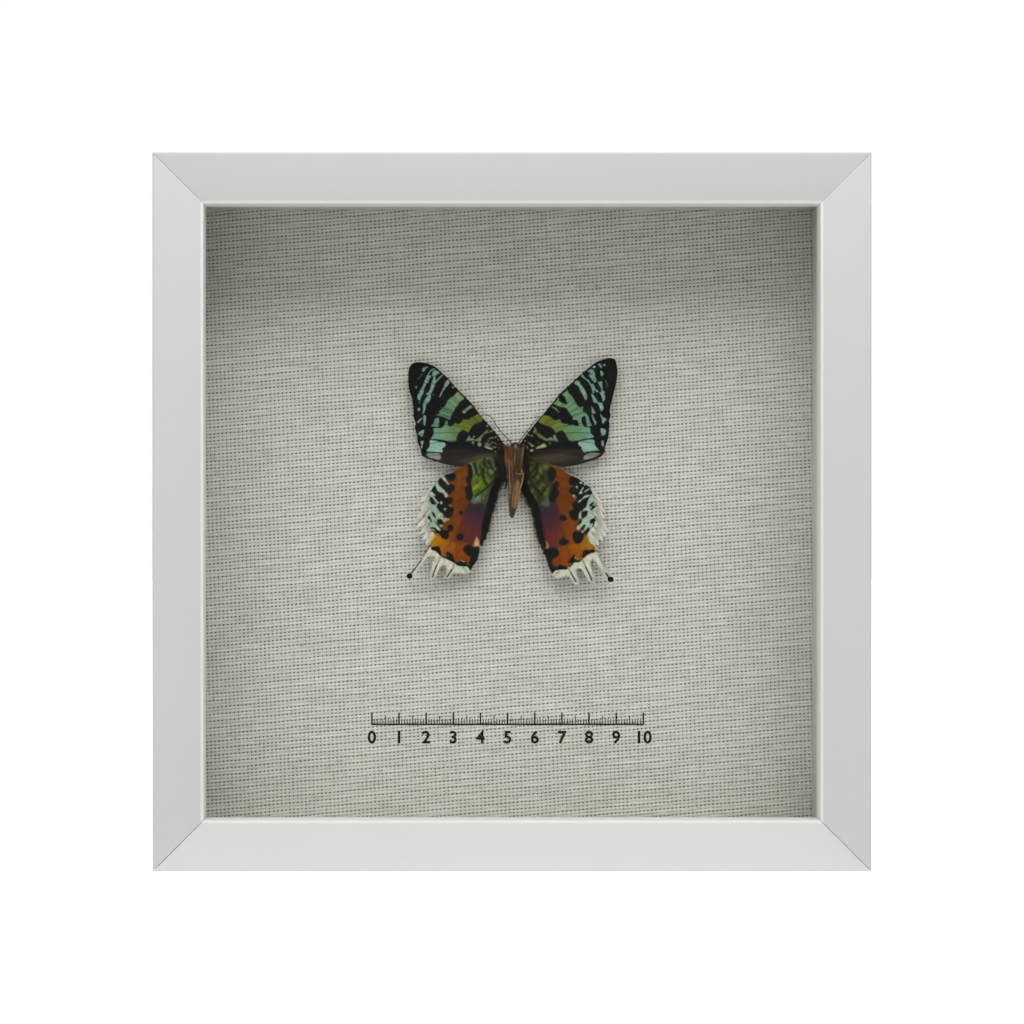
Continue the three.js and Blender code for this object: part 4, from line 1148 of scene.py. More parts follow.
# Left hindwing: an orange band between black bars, green beside the body, violet below, and a white
# margin that is drawn out into three tails with dark midribs
FRINGE_WHITE = (190, 189, 172)
SOOT = (21, 20, 19)
MINT_WHITE = (150, 172, 152)
HINDWING_LEFT = [
    (-1.5, 3.2), (-5, 2.2), (-8, 1.6), (-11, 0.9), (-14, 0.1), (-16.5, -0.7), (-18.5, -1.8),
    (-20.5, -2.6), (-21.8, -3.8), (-23.8, -4.4), (-25.3, -5.2), (-26.9, -6.3), (-28.2, -7.6),
    (-29.6, -9.4), (-30.9, -12), (-31.6, -15), (-31.8, -18.5), (-31.9, -21.5), (-31.4, -24.5),
    (-30.8, -27.4), (-30.9, -29.6), (-31, -31.4), (-32, -32.9), (-33.2, -34.6), (-34.1, -36.4),
    (-35.6, -38.5), (-37, -40.2), (-38.3, -41.2), (-38.4, -42.3), (-37.2, -42.5), (-36.3, -41.9),
    (-34.8, -40), (-33.4, -38.2), (-32.3, -36.5), (-31.3, -35.2), (-30.3, -35), (-29.8, -36.2),
    (-29.9, -38), (-30.4, -40), (-30.9, -42), (-30.6, -43.4), (-29.6, -43.6), (-28.6, -42.8),
    (-27.8, -41.2), (-26.9, -39.6), (-25.9, -38.3), (-25, -38.2), (-24.5, -39.2), (-24.8, -40.6),
    (-25.1, -42), (-24.6, -42.9), (-23.6, -42.7), (-22.6, -41.7), (-21.5, -40.9), (-20.2, -40.8),
    (-18.6, -41.3), (-17, -41.2), (-15.8, -40.7), (-15, -39.4), (-13.7, -37.3), (-12.9, -35.5), (-12.3, -33), (-12.1, -31.4), (-11.4, -30.5),
    (-10.6, -29), (-10, -27.8), (-9.6, -26), (-9.2, -24), (-8.9, -22), (-8.5, -20), (-8, -18),
    (-7.4, -16), (-7, -14.2), (-6.2, -12.5), (-5.7, -10), (-5.1, -7.6), (-4, -6), (-1.5, -4.5),
]
HINDWING_LEFT_VEINS = [
    [(-3, 2), (-12, -0.5), (-21.8, -4.2)],
    [(-3, 2), (-10, -3), (-18, -6), (-28, -8)],
    [(-3, 2), (-10, -5), (-17, -9.5), (-30.4, -13.5)],
    [(-3, 2), (-10, -6), (-16, -12), (-30.4, -20)],
    [(-3, 2), (-10, -6), (-15.5, -12.5), (-22, -21), (-29.6, -30)],
    [(-3, 2), (-8, -6), (-14, -13), (-20, -24), (-26.5, -35.2)],
    [(-3, 2), (-7.5, -6), (-13, -14), (-18, -26), (-21.5, -37.5)],
    [(-3, 2), (-7, -7), (-12, -16), (-15.5, -28), (-17.5, -38.6)],
    [(-3, 2), (-6, -8), (-10.5, -18), (-12.5, -30), (-15, -39)],
]
wing = add_sheet("hindwing_left", HINDWING_LEFT, HINDWING_AHEAD, HINDWING_LEFT_VEINS, FRINGE_WHITE)
# Painted shade: grey strokes across the white margin, for the shade between its hair tufts.
for u, v in ((-31, -12.4), (-31.6, -15.4), (-31.8, -18.2), (-31.8, -21), (-31.6, -23.8), (-30.8, -26.2)):
    wing.line((104, 106, 94), 0.7, [(u - 0.8, v - 1.2), (u + 1.2, v + 1.2)], soft=0.5, strength=0.7)
wing.area((128, 127, 112), [(-30.6, -35), (-28.9, -34.8), (-28.8, -36.4), (-30, -36.6)], soft=0.5)
wing.area(
    wing.ramp((-26, -24), (-12, -22), (115, 58, 11), (103, 48, 15), (92, 42, 30), (77, 36, 42), (60, 32, 42)),
    [(-1.5, 3.2), (-8, 1.6), (-14, 0.1), (-18.5, -1.8), (-21.8, -3.8), (-25.2, -5.1), (-27.5, -6.7),
     (-29.4, -9.1), (-30.3, -11.2), (-30.6, -12.6), (-30.1, -15.3), (-30.3, -18.4), (-31, -19.8),
     (-30.2, -22.2), (-30.6, -24.4), (-28.4, -27.4), (-30, -29.4), (-30, -31.3), (-28.3, -32.9),
     (-26.9, -34.3), (-24.8, -35.6), (-22, -37), (-19, -38.4), (-17, -38.5), (-16.2, -39.2),
     (-15.5, -40.5), (-15, -39.4), (-12.9, -35.5), (-12.1, -31.4), (-10, -27.8), (-8, -22), (-7, -16),
     (-5.7, -10), (-4, -6), (-1.5, -4.5)],
)
wing.area(
    wing.ramp((-17, -25), (-11, -15), (86, 38, 33), (76, 35, 42), (60, 34, 40), (44, 33, 42), (46, 50, 50)),
    [(-15.8, -14.6), (-17.6, -17.6), (-18.4, -21), (-19.6, -25), (-20.6, -29), (-17, -29.4),
     (-13, -27.4), (-9, -27), (-7, -16), (-11, -13)],
    soft=1.1,
)
wing.area(
    wing.ramp((-19, -8), (-24, -30), (101, 54, 8), (95, 46, 6), (108, 56, 10), (117, 61, 12)),
    [(-16, -0.6), (-21.5, -3.2), (-24, -12), (-26, -24), (-24, -30), (-20.6, -26), (-18.2, -18),
     (-15.8, -14), (-15.6, -6)],
    soft=0.5,
)
wing.area(
    wing.ramp((-29, -28), (-17, -35), (168, 116, 8), (146, 86, 10), (123, 61, 9), (116, 57, 8)),
    [(-28.4, -26.8), (-26.6, -27.4), (-25.3, -28.7), (-22.5, -29.6), (-18, -30), (-15.8, -31),
     (-15.4, -36), (-18, -37.6), (-24, -35.4), (-27.4, -33.4), (-30, -31.4), (-30, -29.4)],
    soft=0.7,
)
wing.area(
    wing.ramp((-6, -2), (-15, -9), (52, 54, 32), (58, 62, 34), (74, 92, 26), (78, 96, 28), (70, 84, 30)),
    [(-2, 2.6), (-8, 1), (-16, -0.6), (-15.8, -4), (-15.6, -9), (-15.4, -13.4), (-13, -15),
     (-10.6, -15), (-7.4, -13), (-6.2, -9), (-4.6, -6), (-2, -3)],
    soft=0.35,
)
wing.area((82, 98, 76), [(-15.2, -12.8), (-13.2, -12.4), (-11.8, -13.4), (-13, -15.2), (-15.2, -15.4)], soft=0.6)
wing.area(
    (33, 31, 28), [(-2, 2.4), (-5, 2), (-6.6, -1), (-7, -6), (-7.6, -12), (-9.4, -17), (-7, -17), (-5, -9), (-2, -4)],
    soft=1.2,
)
wing.area(
    wing.ramp((-15, -6), (-10, -10), (68, 86, 24), (82, 102, 12), (80, 98, 16)),
    [(-15.1, -5.8), (-13.4, -5.2), (-12.2, -5.8), (-11.2, -7.2), (-10.6, -8.4), (-10.1, -9.3), (-11.6, -10.6),
     (-13.2, -12), (-14.4, -12.8), (-15, -11.6), (-15.2, -8)],
    soft=0.3,
)
wing.area(
    (66, 70, 50),
    [(-11.8, -12.2), (-9.6, -10.2), (-8, -8.6), (-6.4, -6.6), (-6.4, -8.4), (-7.6, -11), (-9, -13.2),
     (-10, -15.4), (-11.2, -15)],
    soft=0.6,
)
for colour, spots in (
    ((84, 92, 60), ((-12, 0.4, 0.9, 0.45), (-9.1, 0.7, 0.8, 0.4), (-7.8, 0.7, 0.5, 0.4), (-10.1, -2.7, 0.5, 0.8),
                    (-12.5, -3.6, 0.7, 0.6), (-7.3, -1.2, 0.4, 0.9), (-9.2, -1.6, 0.6, 0.3), (-9.7, -4.8, 0.4, 0.7),
                    (-12.7, -1, 0.5, 1), (-12.1, -5.6, 0.35, 0.8), (-10.4, -11.4, 0.6, 0.5))),
    ((102, 110, 72), ((-8, -3.7, 0.9, 1), (-6.6, -2.6, 0.5, 0.5), (-9.2, -7.1, 0.7, 0.6), (-8.6, -2.1, 0.35, 0.3),
                      (-10.8, -13.5, 0.4, 0.5))),
    ((92, 116, 98), ((-12.9, -13.5, 0.8, 0.9), (-12.4, -12.8, 0.5, 0.5))),
    ((140, 150, 62), ((-12.9, -9, 0.5, 0.4), (-13.9, -9.9, 0.6, 0.4), (-14.5, -10.4, 0.4, 0.4))),
    ((60, 78, 12), ((-13, -7.7, 0.5, 0.7), (-12.8, -10.6, 0.9, 0.35))),
):
    for u, v, wide, tall in spots:
        wing.spot(colour, u, v, wide, tall, soft=0.45)
wing.line((128, 140, 50), 0.7, [(-11.8, -7.8), (-12.9, -8.9), (-14.4, -10.2)], soft=0.4, strength=0.7)
wing.line((98, 110, 62), 0.5, [(-14.6, -6.4), (-13.2, -5.5)], soft=0.35)
for width, mark in (
    (1.0, [(-14.2, -0.7), (-14, -1.8), (-13.6, -3), (-13.4, -4.4)]),
    (0.8, [(-10.4, 1.1), (-10.6, 0.2), (-10.5, -1), (-10.1, -1.7)]),
    (0.9, [(-10.9, -2.8), (-10.9, -4), (-11.1, -5), (-10.8, -6.2), (-10.3, -7.4), (-9.7, -8.4)]),
    (0.8, [(-9, 0.2), (-8.6, -0.8), (-8.1, -1.7)]),
    (0.7, [(-7.3, 1.8), (-6.7, 1.3), (-6.2, 0.3), (-6.3, -1)]),
    (0.5, [(-9.8, -2), (-8.9, -2.5), (-8, -2.4), (-7.3, -3)]),
    (0.5, [(-9.6, -4), (-8.9, -5), (-8, -5.6)]),
    (0.45, [(-13, -4.8), (-12.4, -5.2), (-11.8, -4.4)]),
    (0.5, [(-12.3, -1.4), (-11.9, -2.6), (-11.6, -4)]),
    (0.7, [(-13.8, -12.7), (-12.2, -11.6), (-11, -10.8), (-9.8, -9.8), (-8.6, -8.8), (-7.4, -7.4)]),
):
    wing.line((20, 24, 12), width, mark, soft=0.38, strength=0.85)
wing.area(
    SOOT,
    [(-16.9, -1), (-16.5, -2.5), (-16.6, -4), (-16.4, -5.2), (-16.9, -5.8), (-17.4, -6.6), (-17.2, -7.5),
     (-16.4, -8.5), (-17, -9), (-17.6, -9.6), (-17.8, -10.5), (-17.5, -11.4), (-17.3, -12.4), (-17.2, -13.3),
     (-16.7, -14.1), (-16, -14.4), (-15.3, -14.1), (-14.9, -13.3), (-14.6, -12.3), (-14.9, -11.2),
     (-15, -10), (-15.3, -8.6), (-15.4, -7.9), (-15, -6.2), (-14.7, -4.2), (-14.9, -3.2), (-15.4, -1.4)],
)
wing.line((92, 104, 90), 0.4, [(-15.4, -1), (-14.8, -2), (-14.4, -3.2), (-14.2, -4.7)], soft=0.25)
wing.area(
    (131, 151, 137),
    [(-25.2, -5), (-27.5, -6.7), (-29.4, -9.1), (-30.3, -11.2), (-30.7, -14), (-30.3, -18.4), (-31, -19.8),
     (-30.2, -22.2), (-30.6, -24.4), (-28.6, -24.8), (-27, -18), (-26, -11), (-24.6, -7.4)],
)
for points in (
    [(-25.2, -5.1), (-24.6, -6.2), (-23.4, -7.2), (-22, -7), (-21, -6), (-21.2, -4.8), (-22.2, -4.2),
     (-23.8, -4.5)],
    [(-27.5, -6.9), (-26.5, -6), (-26.1, -6.2), (-25.2, -7.2), (-24.3, -8.3), (-23.9, -8.8), (-23.2, -8.4),
     (-22.2, -8.4), (-21.4, -9), (-21.5, -10), (-21.9, -10.7), (-22.5, -11.3), (-23.3, -11.9),
     (-23.9, -11.7), (-24.7, -11), (-26, -9.8), (-26.9, -9.1), (-27.3, -8.3)],
    [(-29.4, -9.1), (-28.8, -8.9), (-28.3, -9.3), (-28, -10.2), (-27.5, -11), (-26.5, -11.4),
     (-25.4, -12.4), (-25, -13.2), (-24.3, -13.4), (-22.3, -13.4), (-22.1, -14.3), (-22.6, -15.3),
     (-23.6, -16.1), (-23.3, -16.7), (-22.3, -16.8), (-21.7, -17.3), (-21.9, -18.5), (-22.2, -19.6),
     (-22.9, -20.7), (-24.3, -20.6), (-25.5, -19.6), (-26.1, -18.8), (-27.1, -18.1), (-28, -16.6),
     (-27.8, -15.7), (-28.8, -14.6), (-30.3, -13.4), (-30.2, -11.2)],
):
    wing.area(SOOT, points)
wing.area(
    wing.ramp((-28, -18), (-24, -20), (138, 160, 142), (140, 156, 124)),
    [(-30, -16.2), (-29, -16.2), (-28.3, -16.6), (-28, -17.4), (-27.4, -18.2), (-26.6, -18.8),
     (-25.7, -19.3), (-25.6, -20.1), (-25.3, -20.8), (-24.3, -20.8), (-23.1, -21.3), (-24, -21.6),
     (-25.2, -22.4), (-26.4, -24.6), (-28.4, -25.6), (-30, -24), (-29.8, -21.6), (-30.4, -20),
     (-30.1, -18.1)],
)
for points in (
    [(-26.2, -5.8), (-25.6, -5.8), (-24.9, -6.5), (-24.2, -7.4), (-23.6, -8.2), (-23.8, -8.6), (-24.8, -7.4),
     (-25.6, -6.6)],
    [(-28.4, -7.6), (-27.8, -7.6), (-27.4, -8.6), (-26.8, -9.4), (-26, -9.9), (-25.3, -10.4), (-24.9, -11.2),
     (-24.1, -11.8), (-23.9, -12.5), (-24.1, -13), (-24.6, -13.2), (-25, -12.8), (-25.5, -11.7),
     (-26.2, -11.2), (-27.1, -11.1), (-27.7, -10.5), (-27.9, -9.6), (-28.3, -8.8)],
    [(-30.5, -11.5), (-29.6, -11.2), (-28.8, -12), (-28.4, -12.3), (-29, -12.9), (-29.9, -13.2),
     (-30.3, -12.6)],
    [(-29.6, -12.9), (-29, -13.1), (-28.2, -13.9), (-27.7, -14.7), (-27.1, -15.2), (-27.6, -15.5),
     (-28.9, -14.1), (-29.6, -13.3)],
):
    wing.area(MINT_WHITE, points, soft=0.13)
wing.spot(MINT_WHITE, -26.3, -15.2, 0.45, 0.65)
wing.spot(MINT_WHITE, -25, -17.5, 0.4)
wing.spot((130, 88, 52), -23, -16.1, 0.6, 0.4)
for points in (
    [(-30.6, -13.8), (-29.9, -13.6), (-28.9, -14.6), (-28.3, -15.4), (-28.5, -15.9), (-29.3, -15.8),
     (-30.1, -15.3)],
    [(-29.8, -18.4), (-29.2, -18.7), (-28.6, -19.5), (-28.3, -20.2), (-28.5, -20.9), (-28.9, -20.5),
     (-29.7, -19.1)],
    [(-31.3, -20), (-30.8, -20), (-30.2, -20.7), (-30.1, -21.2), (-29.6, -22), (-29.9, -22.2),
     (-30.6, -21.6), (-31.1, -20.9)],
    [(-27.5, -21.2), (-26.6, -21.1), (-25.9, -21.7), (-25.4, -22.4), (-25.3, -23), (-26.1, -23.2),
     (-27.1, -23.2), (-28, -22)],
    [(-28.8, -22.1), (-28.1, -22.3), (-27.5, -23), (-27, -23.6), (-26, -24.6), (-25.6, -25), (-24.6, -25.2),
     (-23.9, -25), (-24.2, -24.4), (-23.9, -23.6), (-23.2, -23.1), (-22.5, -23.3), (-21.9, -23.9),
     (-21.9, -24.7), (-22.3, -25.4), (-23.3, -25.8), (-23.6, -26.5), (-23.4, -27.3), (-23.7, -28.1),
     (-24.5, -28.5), (-25.5, -28.4), (-26.2, -27.9), (-26.6, -27.1), (-27.2, -26.4), (-28.1, -26.2),
     (-28.7, -25.2), (-29.3, -24.8), (-30.6, -24.4), (-29.5, -24.1), (-28.6, -24.3), (-28, -24.8),
     (-27.4, -25.4), (-26.5, -25)],
    [(-30, -31.3), (-29.2, -31.3), (-27.6, -31), (-26.9, -31.4), (-26.7, -32.1), (-26.4, -33.2),
     (-26.3, -34.3), (-25.8, -34.8), (-24.6, -34.9), (-24.3, -34.5), (-24.8, -33.7), (-24.5, -33.2),
     (-23.4, -33.3), (-22.6, -33.7), (-22, -34.4), (-21.8, -35.4), (-21.4, -36.3), (-20.8, -37),
     (-19.1, -36.7), (-18, -37), (-16.4, -37.1), (-15.9, -36.5), (-15.5, -35.5), (-15.8, -34.9),
     (-16.7, -34.4), (-17.6, -33.6), (-18.4, -32.5), (-18.1, -31.6), (-17.4, -30.8), (-16.5, -30.5),
     (-15.6, -30.6), (-14.8, -31), (-14.4, -31.4), (-13.2, -31.2), (-12.2, -32.3), (-12.9, -35.5),
     (-14.4, -38.6), (-15, -39.4), (-15.5, -40.5), (-16.2, -39.2), (-17, -38.5), (-19, -38.4),
     (-20.3, -38.2), (-22, -37), (-24.8, -35.6), (-25.8, -35.3), (-26.9, -34.3), (-27.6, -33.5),
     (-28.3, -32.9), (-29.3, -32.6), (-29.9, -32.4)],
):
    wing.area(SOOT, points)
wing.line(MINT_WHITE, 0.5, [(-28.5, -23.5), (-26.8, -25.2)])
for colour, width, midrib in (
    (SOOT, 0.55, [(-30.3, -30.7), (-31.4, -32.2), (-32.2, -33.4)]),
    ((96, 94, 74), 0.45, [(-32.2, -33.4), (-32.9, -34.6), (-33.6, -36)]),
    (SOOT, 0.55, [(-33.9, -36.4), (-35.3, -38.3), (-36.6, -40), (-37.8, -41.6)]),
    ((118, 118, 88), 0.5, [(-26.7, -35.2), (-27.3, -36.6), (-28, -38)]),
    (SOOT, 0.5, [(-28, -38.2), (-28.8, -40.2), (-29.5, -42.3)]),
    ((134, 132, 96), 0.7, [(-21.9, -37.7), (-21.8, -38.6), (-22.3, -39.6)]),
    (SOOT, 0.5, [(-22.5, -39.8), (-23.3, -41.1), (-24.1, -42.2)]),
    ((142, 140, 104), 0.6, [(-18.2, -38.8), (-17.4, -39.8), (-17, -40.4)]),
):
    wing.line(colour, width, midrib, soft=0.18, strength=0.9)
wing.line((74, 48, 30), 0.5, [(-19.2, -35.1), (-17.7, -36.6)])
wing.line((128, 118, 84), 0.35, [(-18.9, -36.2), (-17.9, -36.8)])
wing.line((120, 118, 104), 0.25, [(-16.9, -37.4), (-15.9, -37.9)])
wing.spot(SOOT, -19, -18.9, 0.85)
wing.spot(SOOT, -19.4, -27.7, 1.35, 1.3)
wing.area(
    (200, 158, 96),
    [(-13.4, -27.6), (-12.9, -28.4), (-12.3, -29.3), (-11.9, -30.3), (-11.5, -31.3), (-13.5, -31.1),
     (-14.6, -31.2), (-14.3, -30), (-13.9, -29)],
    soft=0.5,
)
wing.vein_lines(0.3, 0.16)
for u, v in ((-19.6, -6.5), (-19.9, -9.5), (-20.4, -13), (-20.6, -17), (-22, -30.4), (-25.4, -30.6)):
    wing.line((152, 98, 56), 0.3, [(u, v + 1.2), (u - 0.4, v - 1.2)], soft=0.3, strength=0.4)
thicken(wing, scale_look)

# Right hindwing
HINDWING_RIGHT = [
    (1.9, 3.4), (5, 2.4), (7.5, 1.2), (10, 0.3), (13, -0.7), (15.5, -1.6), (17.2, -2.3), (19, -3.4),
    (21, -4.7), (22.8, -5.4), (24.4, -6.5), (26, -7.8), (27.8, -9.2), (29.2, -10.8), (30.2, -13),
    (31, -15.6), (31.6, -18.8), (31.8, -22), (31.3, -25), (30.4, -27.8), (29.9, -30), (30.6, -31.8),
    (31.1, -33.2), (31.8, -34.8), (32.8, -36.6), (33.8, -38.4), (34.8, -40.2), (35.7, -42), (36.2, -43.2),
    (35.2, -43.9), (34.2, -43.7), (33.3, -42.4), (32.5, -40.9), (31.5, -39.2), (30.6, -37.6),
    (29.8, -36.4), (28.9, -35.9), (28.4, -36.8), (28.8, -38.6), (29.3, -40.6), (29.8, -42.6),
    (29.7, -44.2), (28.8, -44.8), (27.7, -44), (26.6, -42.4), (25.6, -40.6), (24.8, -39.4), (23.9, -39.1),
    (23.2, -39.9), (23.6, -41.6), (24.1, -43.4), (24.2, -44.8), (23.3, -45.3), (22.2, -44.8),
    (21.1, -43.4), (20.2, -42.3), (19.1, -41.9), (18, -42.4), (16.8, -42.8), (15.4, -42.4), (14.3, -41.5),
    (13.2, -39.8), (12.4, -38),
    (11.8, -36), (11.2, -34.2), (11, -33), (11, -31.6), (10.2, -30.6), (9.7, -29.2), (9.4, -27.2),
    (9, -25), (8.4, -22), (7.9, -20), (7.3, -18), (6.8, -15.8), (5.8, -13.8), (4.2, -12.6), (2.6, -10.6),
    (1.9, -7.6),
]
HINDWING_RIGHT_VEINS = [[(-u, v) for u, v in vein] for vein in HINDWING_LEFT_VEINS]
wing = add_sheet("hindwing_right", HINDWING_RIGHT, HINDWING_AHEAD, HINDWING_RIGHT_VEINS, FRINGE_WHITE)
# Painted shade: grey strokes across the white margin, for the shade between its hair tufts.
for u, v in ((30, -13.4), (30.8, -16.2), (31.3, -19.2), (31.4, -22), (30.8, -25), (30.2, -27.4)):
    wing.line((104, 106, 94), 0.7, [(u + 0.8, v - 1.2), (u - 1.2, v + 1.2)], soft=0.5, strength=0.7)
wing.area(
    wing.ramp((25, -24), (11, -22), (114, 56, 12), (103, 50, 15), (93, 43, 30), (75, 35, 40), (60, 29, 38)),
    [(1.9, 3.4), (7.5, 1.2), (13, -0.7), (17, -2.6), (21, -4.9), (24, -6.3), (26.6, -8.4), (28.5, -9.9),
     (28.8, -12.1), (29.6, -13.6), (29.5, -15.4), (30.3, -16.3), (29.3, -17.9), (29.8, -19.9),
     (30.3, -21), (29.7, -23), (28.2, -25), (27.1, -27), (27.7, -29.5), (29.9, -31.2), (29.9, -33.3),
     (28.1, -33.8), (26.3, -35), (24.3, -36.9), (22.3, -37.1), (21.2, -38.4), (19.9, -39.3),
     (17.5, -39.7), (15.5, -40), (14.1, -41.1), (12.4, -38), (11.1, -34), (10.4, -30.6), (9.4, -27.2),
     (8.4, -22), (6.8, -15.8), (4.2, -12.6), (1.9, -7.6)],
)
wing.area(
    wing.ramp((16, -27), (11, -15), (88, 37, 34), (76, 32, 40), (62, 30, 40), (46, 33, 44), (46, 49, 50)),
    [(14.6, -15), (16.4, -18), (16.6, -22), (16.4, -27), (15, -30), (12, -29.4), (8, -27), (6, -16),
     (9.4, -13.6)],
    soft=1.1,
)
wing.area(
    wing.ramp((17, -6), (22, -31), (101, 54, 12), (96, 47, 7), (110, 56, 9), (119, 61, 11)),
    [(13.6, -1), (19.8, -4.2), (21, -12), (22.4, -22), (22, -30), (19, -26), (17.2, -18), (15.2, -13.6),
     (14.4, -6)],
    soft=0.5,
)
wing.area(
    wing.ramp((28.5, -29), (16, -36), (138, 102, 12), (140, 84, 10), (124, 60, 9), (118, 55, 9)),
    [(26.4, -27.1), (27.3, -27.8), (28.4, -30.4), (29.9, -31.2), (28.6, -32.3), (25.9, -32.4),
     (24.8, -36), (21.4, -36.6), (20.5, -38), (18.6, -38.2), (16, -38.2), (14.4, -37), (15.5, -32),
     (19, -31), (24, -29.8)],
    soft=0.6,
)
wing.area(
    wing.ramp((5, -2), (13, -8), (44, 46, 22), (49, 54, 20), (52, 60, 17), (48, 54, 17), (45, 49, 17)),
    [(2, 2.8), (7, 1), (13, -0.9), (12.6, -4), (13.4, -7.6), (14.2, -9), (13.4, -13), (13, -15.4),
     (9.8, -15.6), (7, -14), (5, -10), (3, -6)],
    soft=0.35,
)
wing.area((66, 80, 66), [(13, -13), (11.6, -13.6), (10.4, -15.4), (12, -16.6), (13.6, -15.6)], soft=0.6)
wing.area(
    (31, 30, 27), [(2, 2.6), (4.2, 2.2), (6, -1), (6.4, -6), (7.2, -11), (8.6, -16), (6.4, -16), (4, -11), (2, -5)],
    soft=1.2,
)
for u, v, wide, tall in (
    (12, -2, 1, 0.9), (10, -3.2, 0.8, 1.2), (9, -5.6, 0.7, 0.8), (12, -11.8, 0.9, 1), (7.9, -3.6, 0.4, 0.4),
    (7.2, -4.5, 0.35, 0.4), (11, -8.6, 0.8, 0.5), (10, -9.7, 0.6, 0.6), (7, -10.8, 0.7, 0.9),
    (5.9, -7.6, 0.5, 0.7), (8.3, -12.8, 0.7, 0.9), (12.8, -10.2, 0.5, 0.9), (6.6, -2.6, 0.5, 0.8),
):
    wing.spot((80, 90, 46), u, v, wide, tall, soft=0.5)
for width, mark in (
    (0.8, [(8.9, -1.2), (8.8, -2.2), (8.4, -2.9)]),
    (0.7, [(9, -3.2), (8.4, -4.6), (7.8, -5.4), (7.2, -6.1)]),
    (0.5, [(7.6, -3.3), (7, -4.1), (6.2, -4.8), (5.5, -5.7)]),
    (0.6, [(10.2, -5.4), (11.1, -5.9), (10.5, -6.8), (9.4, -7.6), (8.6, -8.6)]),
    (0.55, [(5.9, -6.6), (6.8, -8), (7.8, -9.4), (9, -10.8), (10.2, -12.2)]),
    (0.5, [(12.5, -9), (11.2, -10.8), (10.2, -12.2)]),
    (0.5, [(8.6, -12.4), (9.4, -13.2)]),
    (0.6, [(5.4, 0.7), (6.6, 0.5)]),
):
    wing.line((18, 21, 12), width * 1.1, mark, soft=0.42, strength=0.85)
wing.area(
    (136, 155, 139),
    [(25.4, -7.4), (28.5, -9.9), (28.8, -12.1), (29.6, -13.6), (29.5, -15.4), (30.3, -16.3), (29.3, -17.9),
     (29.8, -19.9), (30.3, -21), (29.7, -23), (28.4, -25), (26.6, -25.4), (25.4, -22), (25.6, -16), (24.6, -10)],
)
for points in (
    [(14, -2), (15.5, -3), (16, -3.9), (15.9, -5), (15.5, -6.1), (14.9, -7), (14.3, -7.5), (13.8, -7.4),
     (13.2, -6.5), (12.8, -5.6), (12.6, -4.5), (12.8, -3.5), (13.3, -2.5)],
    [(14.4, -9.3), (14.8, -8.3), (15.5, -7.4), (16.4, -7.3), (16.9, -8.1), (16.8, -9), (16.3, -9.8),
     (16.3, -10.3), (16.8, -11), (16.9, -11.8), (16.3, -12.8), (16, -13.7), (15.6, -14.6), (14.6, -15.1),
     (13.7, -15), (13.2, -14.3), (13.1, -13.3), (13.6, -12.2), (14, -11)],
    [(20.3, -7), (20.7, -6.1), (21.5, -5.7), (23, -5.9), (24.9, -7), (26.6, -8.4), (28.5, -9.9),
     (28.9, -10.9), (28.8, -12.1), (28.2, -12.5), (28.6, -14), (27.5, -14.9), (27.1, -15.9), (26.5, -16.9),
     (25.9, -17.5), (24.6, -18.6), (24.2, -19.2), (23.9, -20.8), (23.5, -21.5), (22.6, -21.7),
     (21.8, -21.5), (21.2, -20.6), (20.7, -19.6), (20.5, -18.7), (20.9, -18.1), (22.1, -17.6),
     (21.9, -16.9), (21.5, -16.1), (21.7, -15.2), (22.5, -14.9), (23.2, -13.7), (22.9, -12.8),
     (22.3, -12.2), (21.6, -12.2), (20.9, -11.7), (20.5, -10.9), (20.6, -10), (21.3, -9.6), (22.3, -9.4),
     (21.9, -9), (21, -8.5), (20.4, -7.9)],
):
    wing.area(SOOT, points)
for points in (
    [(28.1, -12.9), (29.1, -12.6), (29.6, -13.6), (29.3, -14.8), (28.7, -15.1), (27.9, -15.7), (27.7, -16.3),
     (28.4, -16.7), (28.1, -17.5), (27.6, -18.2), (28.4, -18.5), (29.3, -19), (29.8, -19.9), (29.5, -20.7),
     (28.6, -21.3), (28.2, -23.2), (27.4, -24.2), (26.6, -24), (26.5, -23.2), (25.8, -23.1), (25.3, -23.9),
     (24.7, -24.6), (23.6, -25.2), (23.3, -24), (23.8, -23.4), (24.6, -23), (25.1, -22.3), (25.2, -21.5),
     (26, -20.9), (26.9, -20.3), (27.3, -19.3), (26.8, -17.6), (27.2, -15.2)],
    [(24, -11.7), (24.4, -11.2), (24.8, -10.6), (25.2, -9.8), (25.7, -9.4), (25.8, -9.9), (25.1, -11),
     (25.6, -11.5), (25, -11.8), (24.4, -12)],
    [(26.2, -11.4), (26.2, -10.9), (26.9, -10.4), (27.7, -10), (28.3, -10), (27.6, -10.5), (27, -10.9)],
    [(25.2, -13.8), (25.8, -13), (26.6, -12.5), (27.5, -12.3), (28.1, -12.5), (27.3, -13), (26.3, -13.3),
     (25.7, -13.7)],
    [(23.8, -14.9), (24.2, -14.3), (24.8, -14), (25.4, -13.7), (25, -14.3), (24.4, -15)],
    [(25.7, -17.8), (26, -17.4), (26.8, -17.2), (26.9, -17.5), (26.3, -17.9)],
    [(24.2, -19), (24.6, -18.6), (25, -18.2), (25, -18.8), (24.8, -19.6), (25, -20.4), (24.9, -20.9),
     (24.4, -20.9), (24, -20.2)],
):
    wing.area(MINT_WHITE, points, soft=0.13)
for u, v, wide, tall in ((24.8, -7.9, 0.55, 0.35), (26.2, -8.5, 0.35, 0.3), (23.3, -9.4, 0.35, 0.45),
                         (22.2, -12.6, 0.45, 0.33)):
    wing.spot(MINT_WHITE, u, v, wide, tall)
wing.spot((130, 88, 52), 22.8, -13.3, 0.5, 0.35)
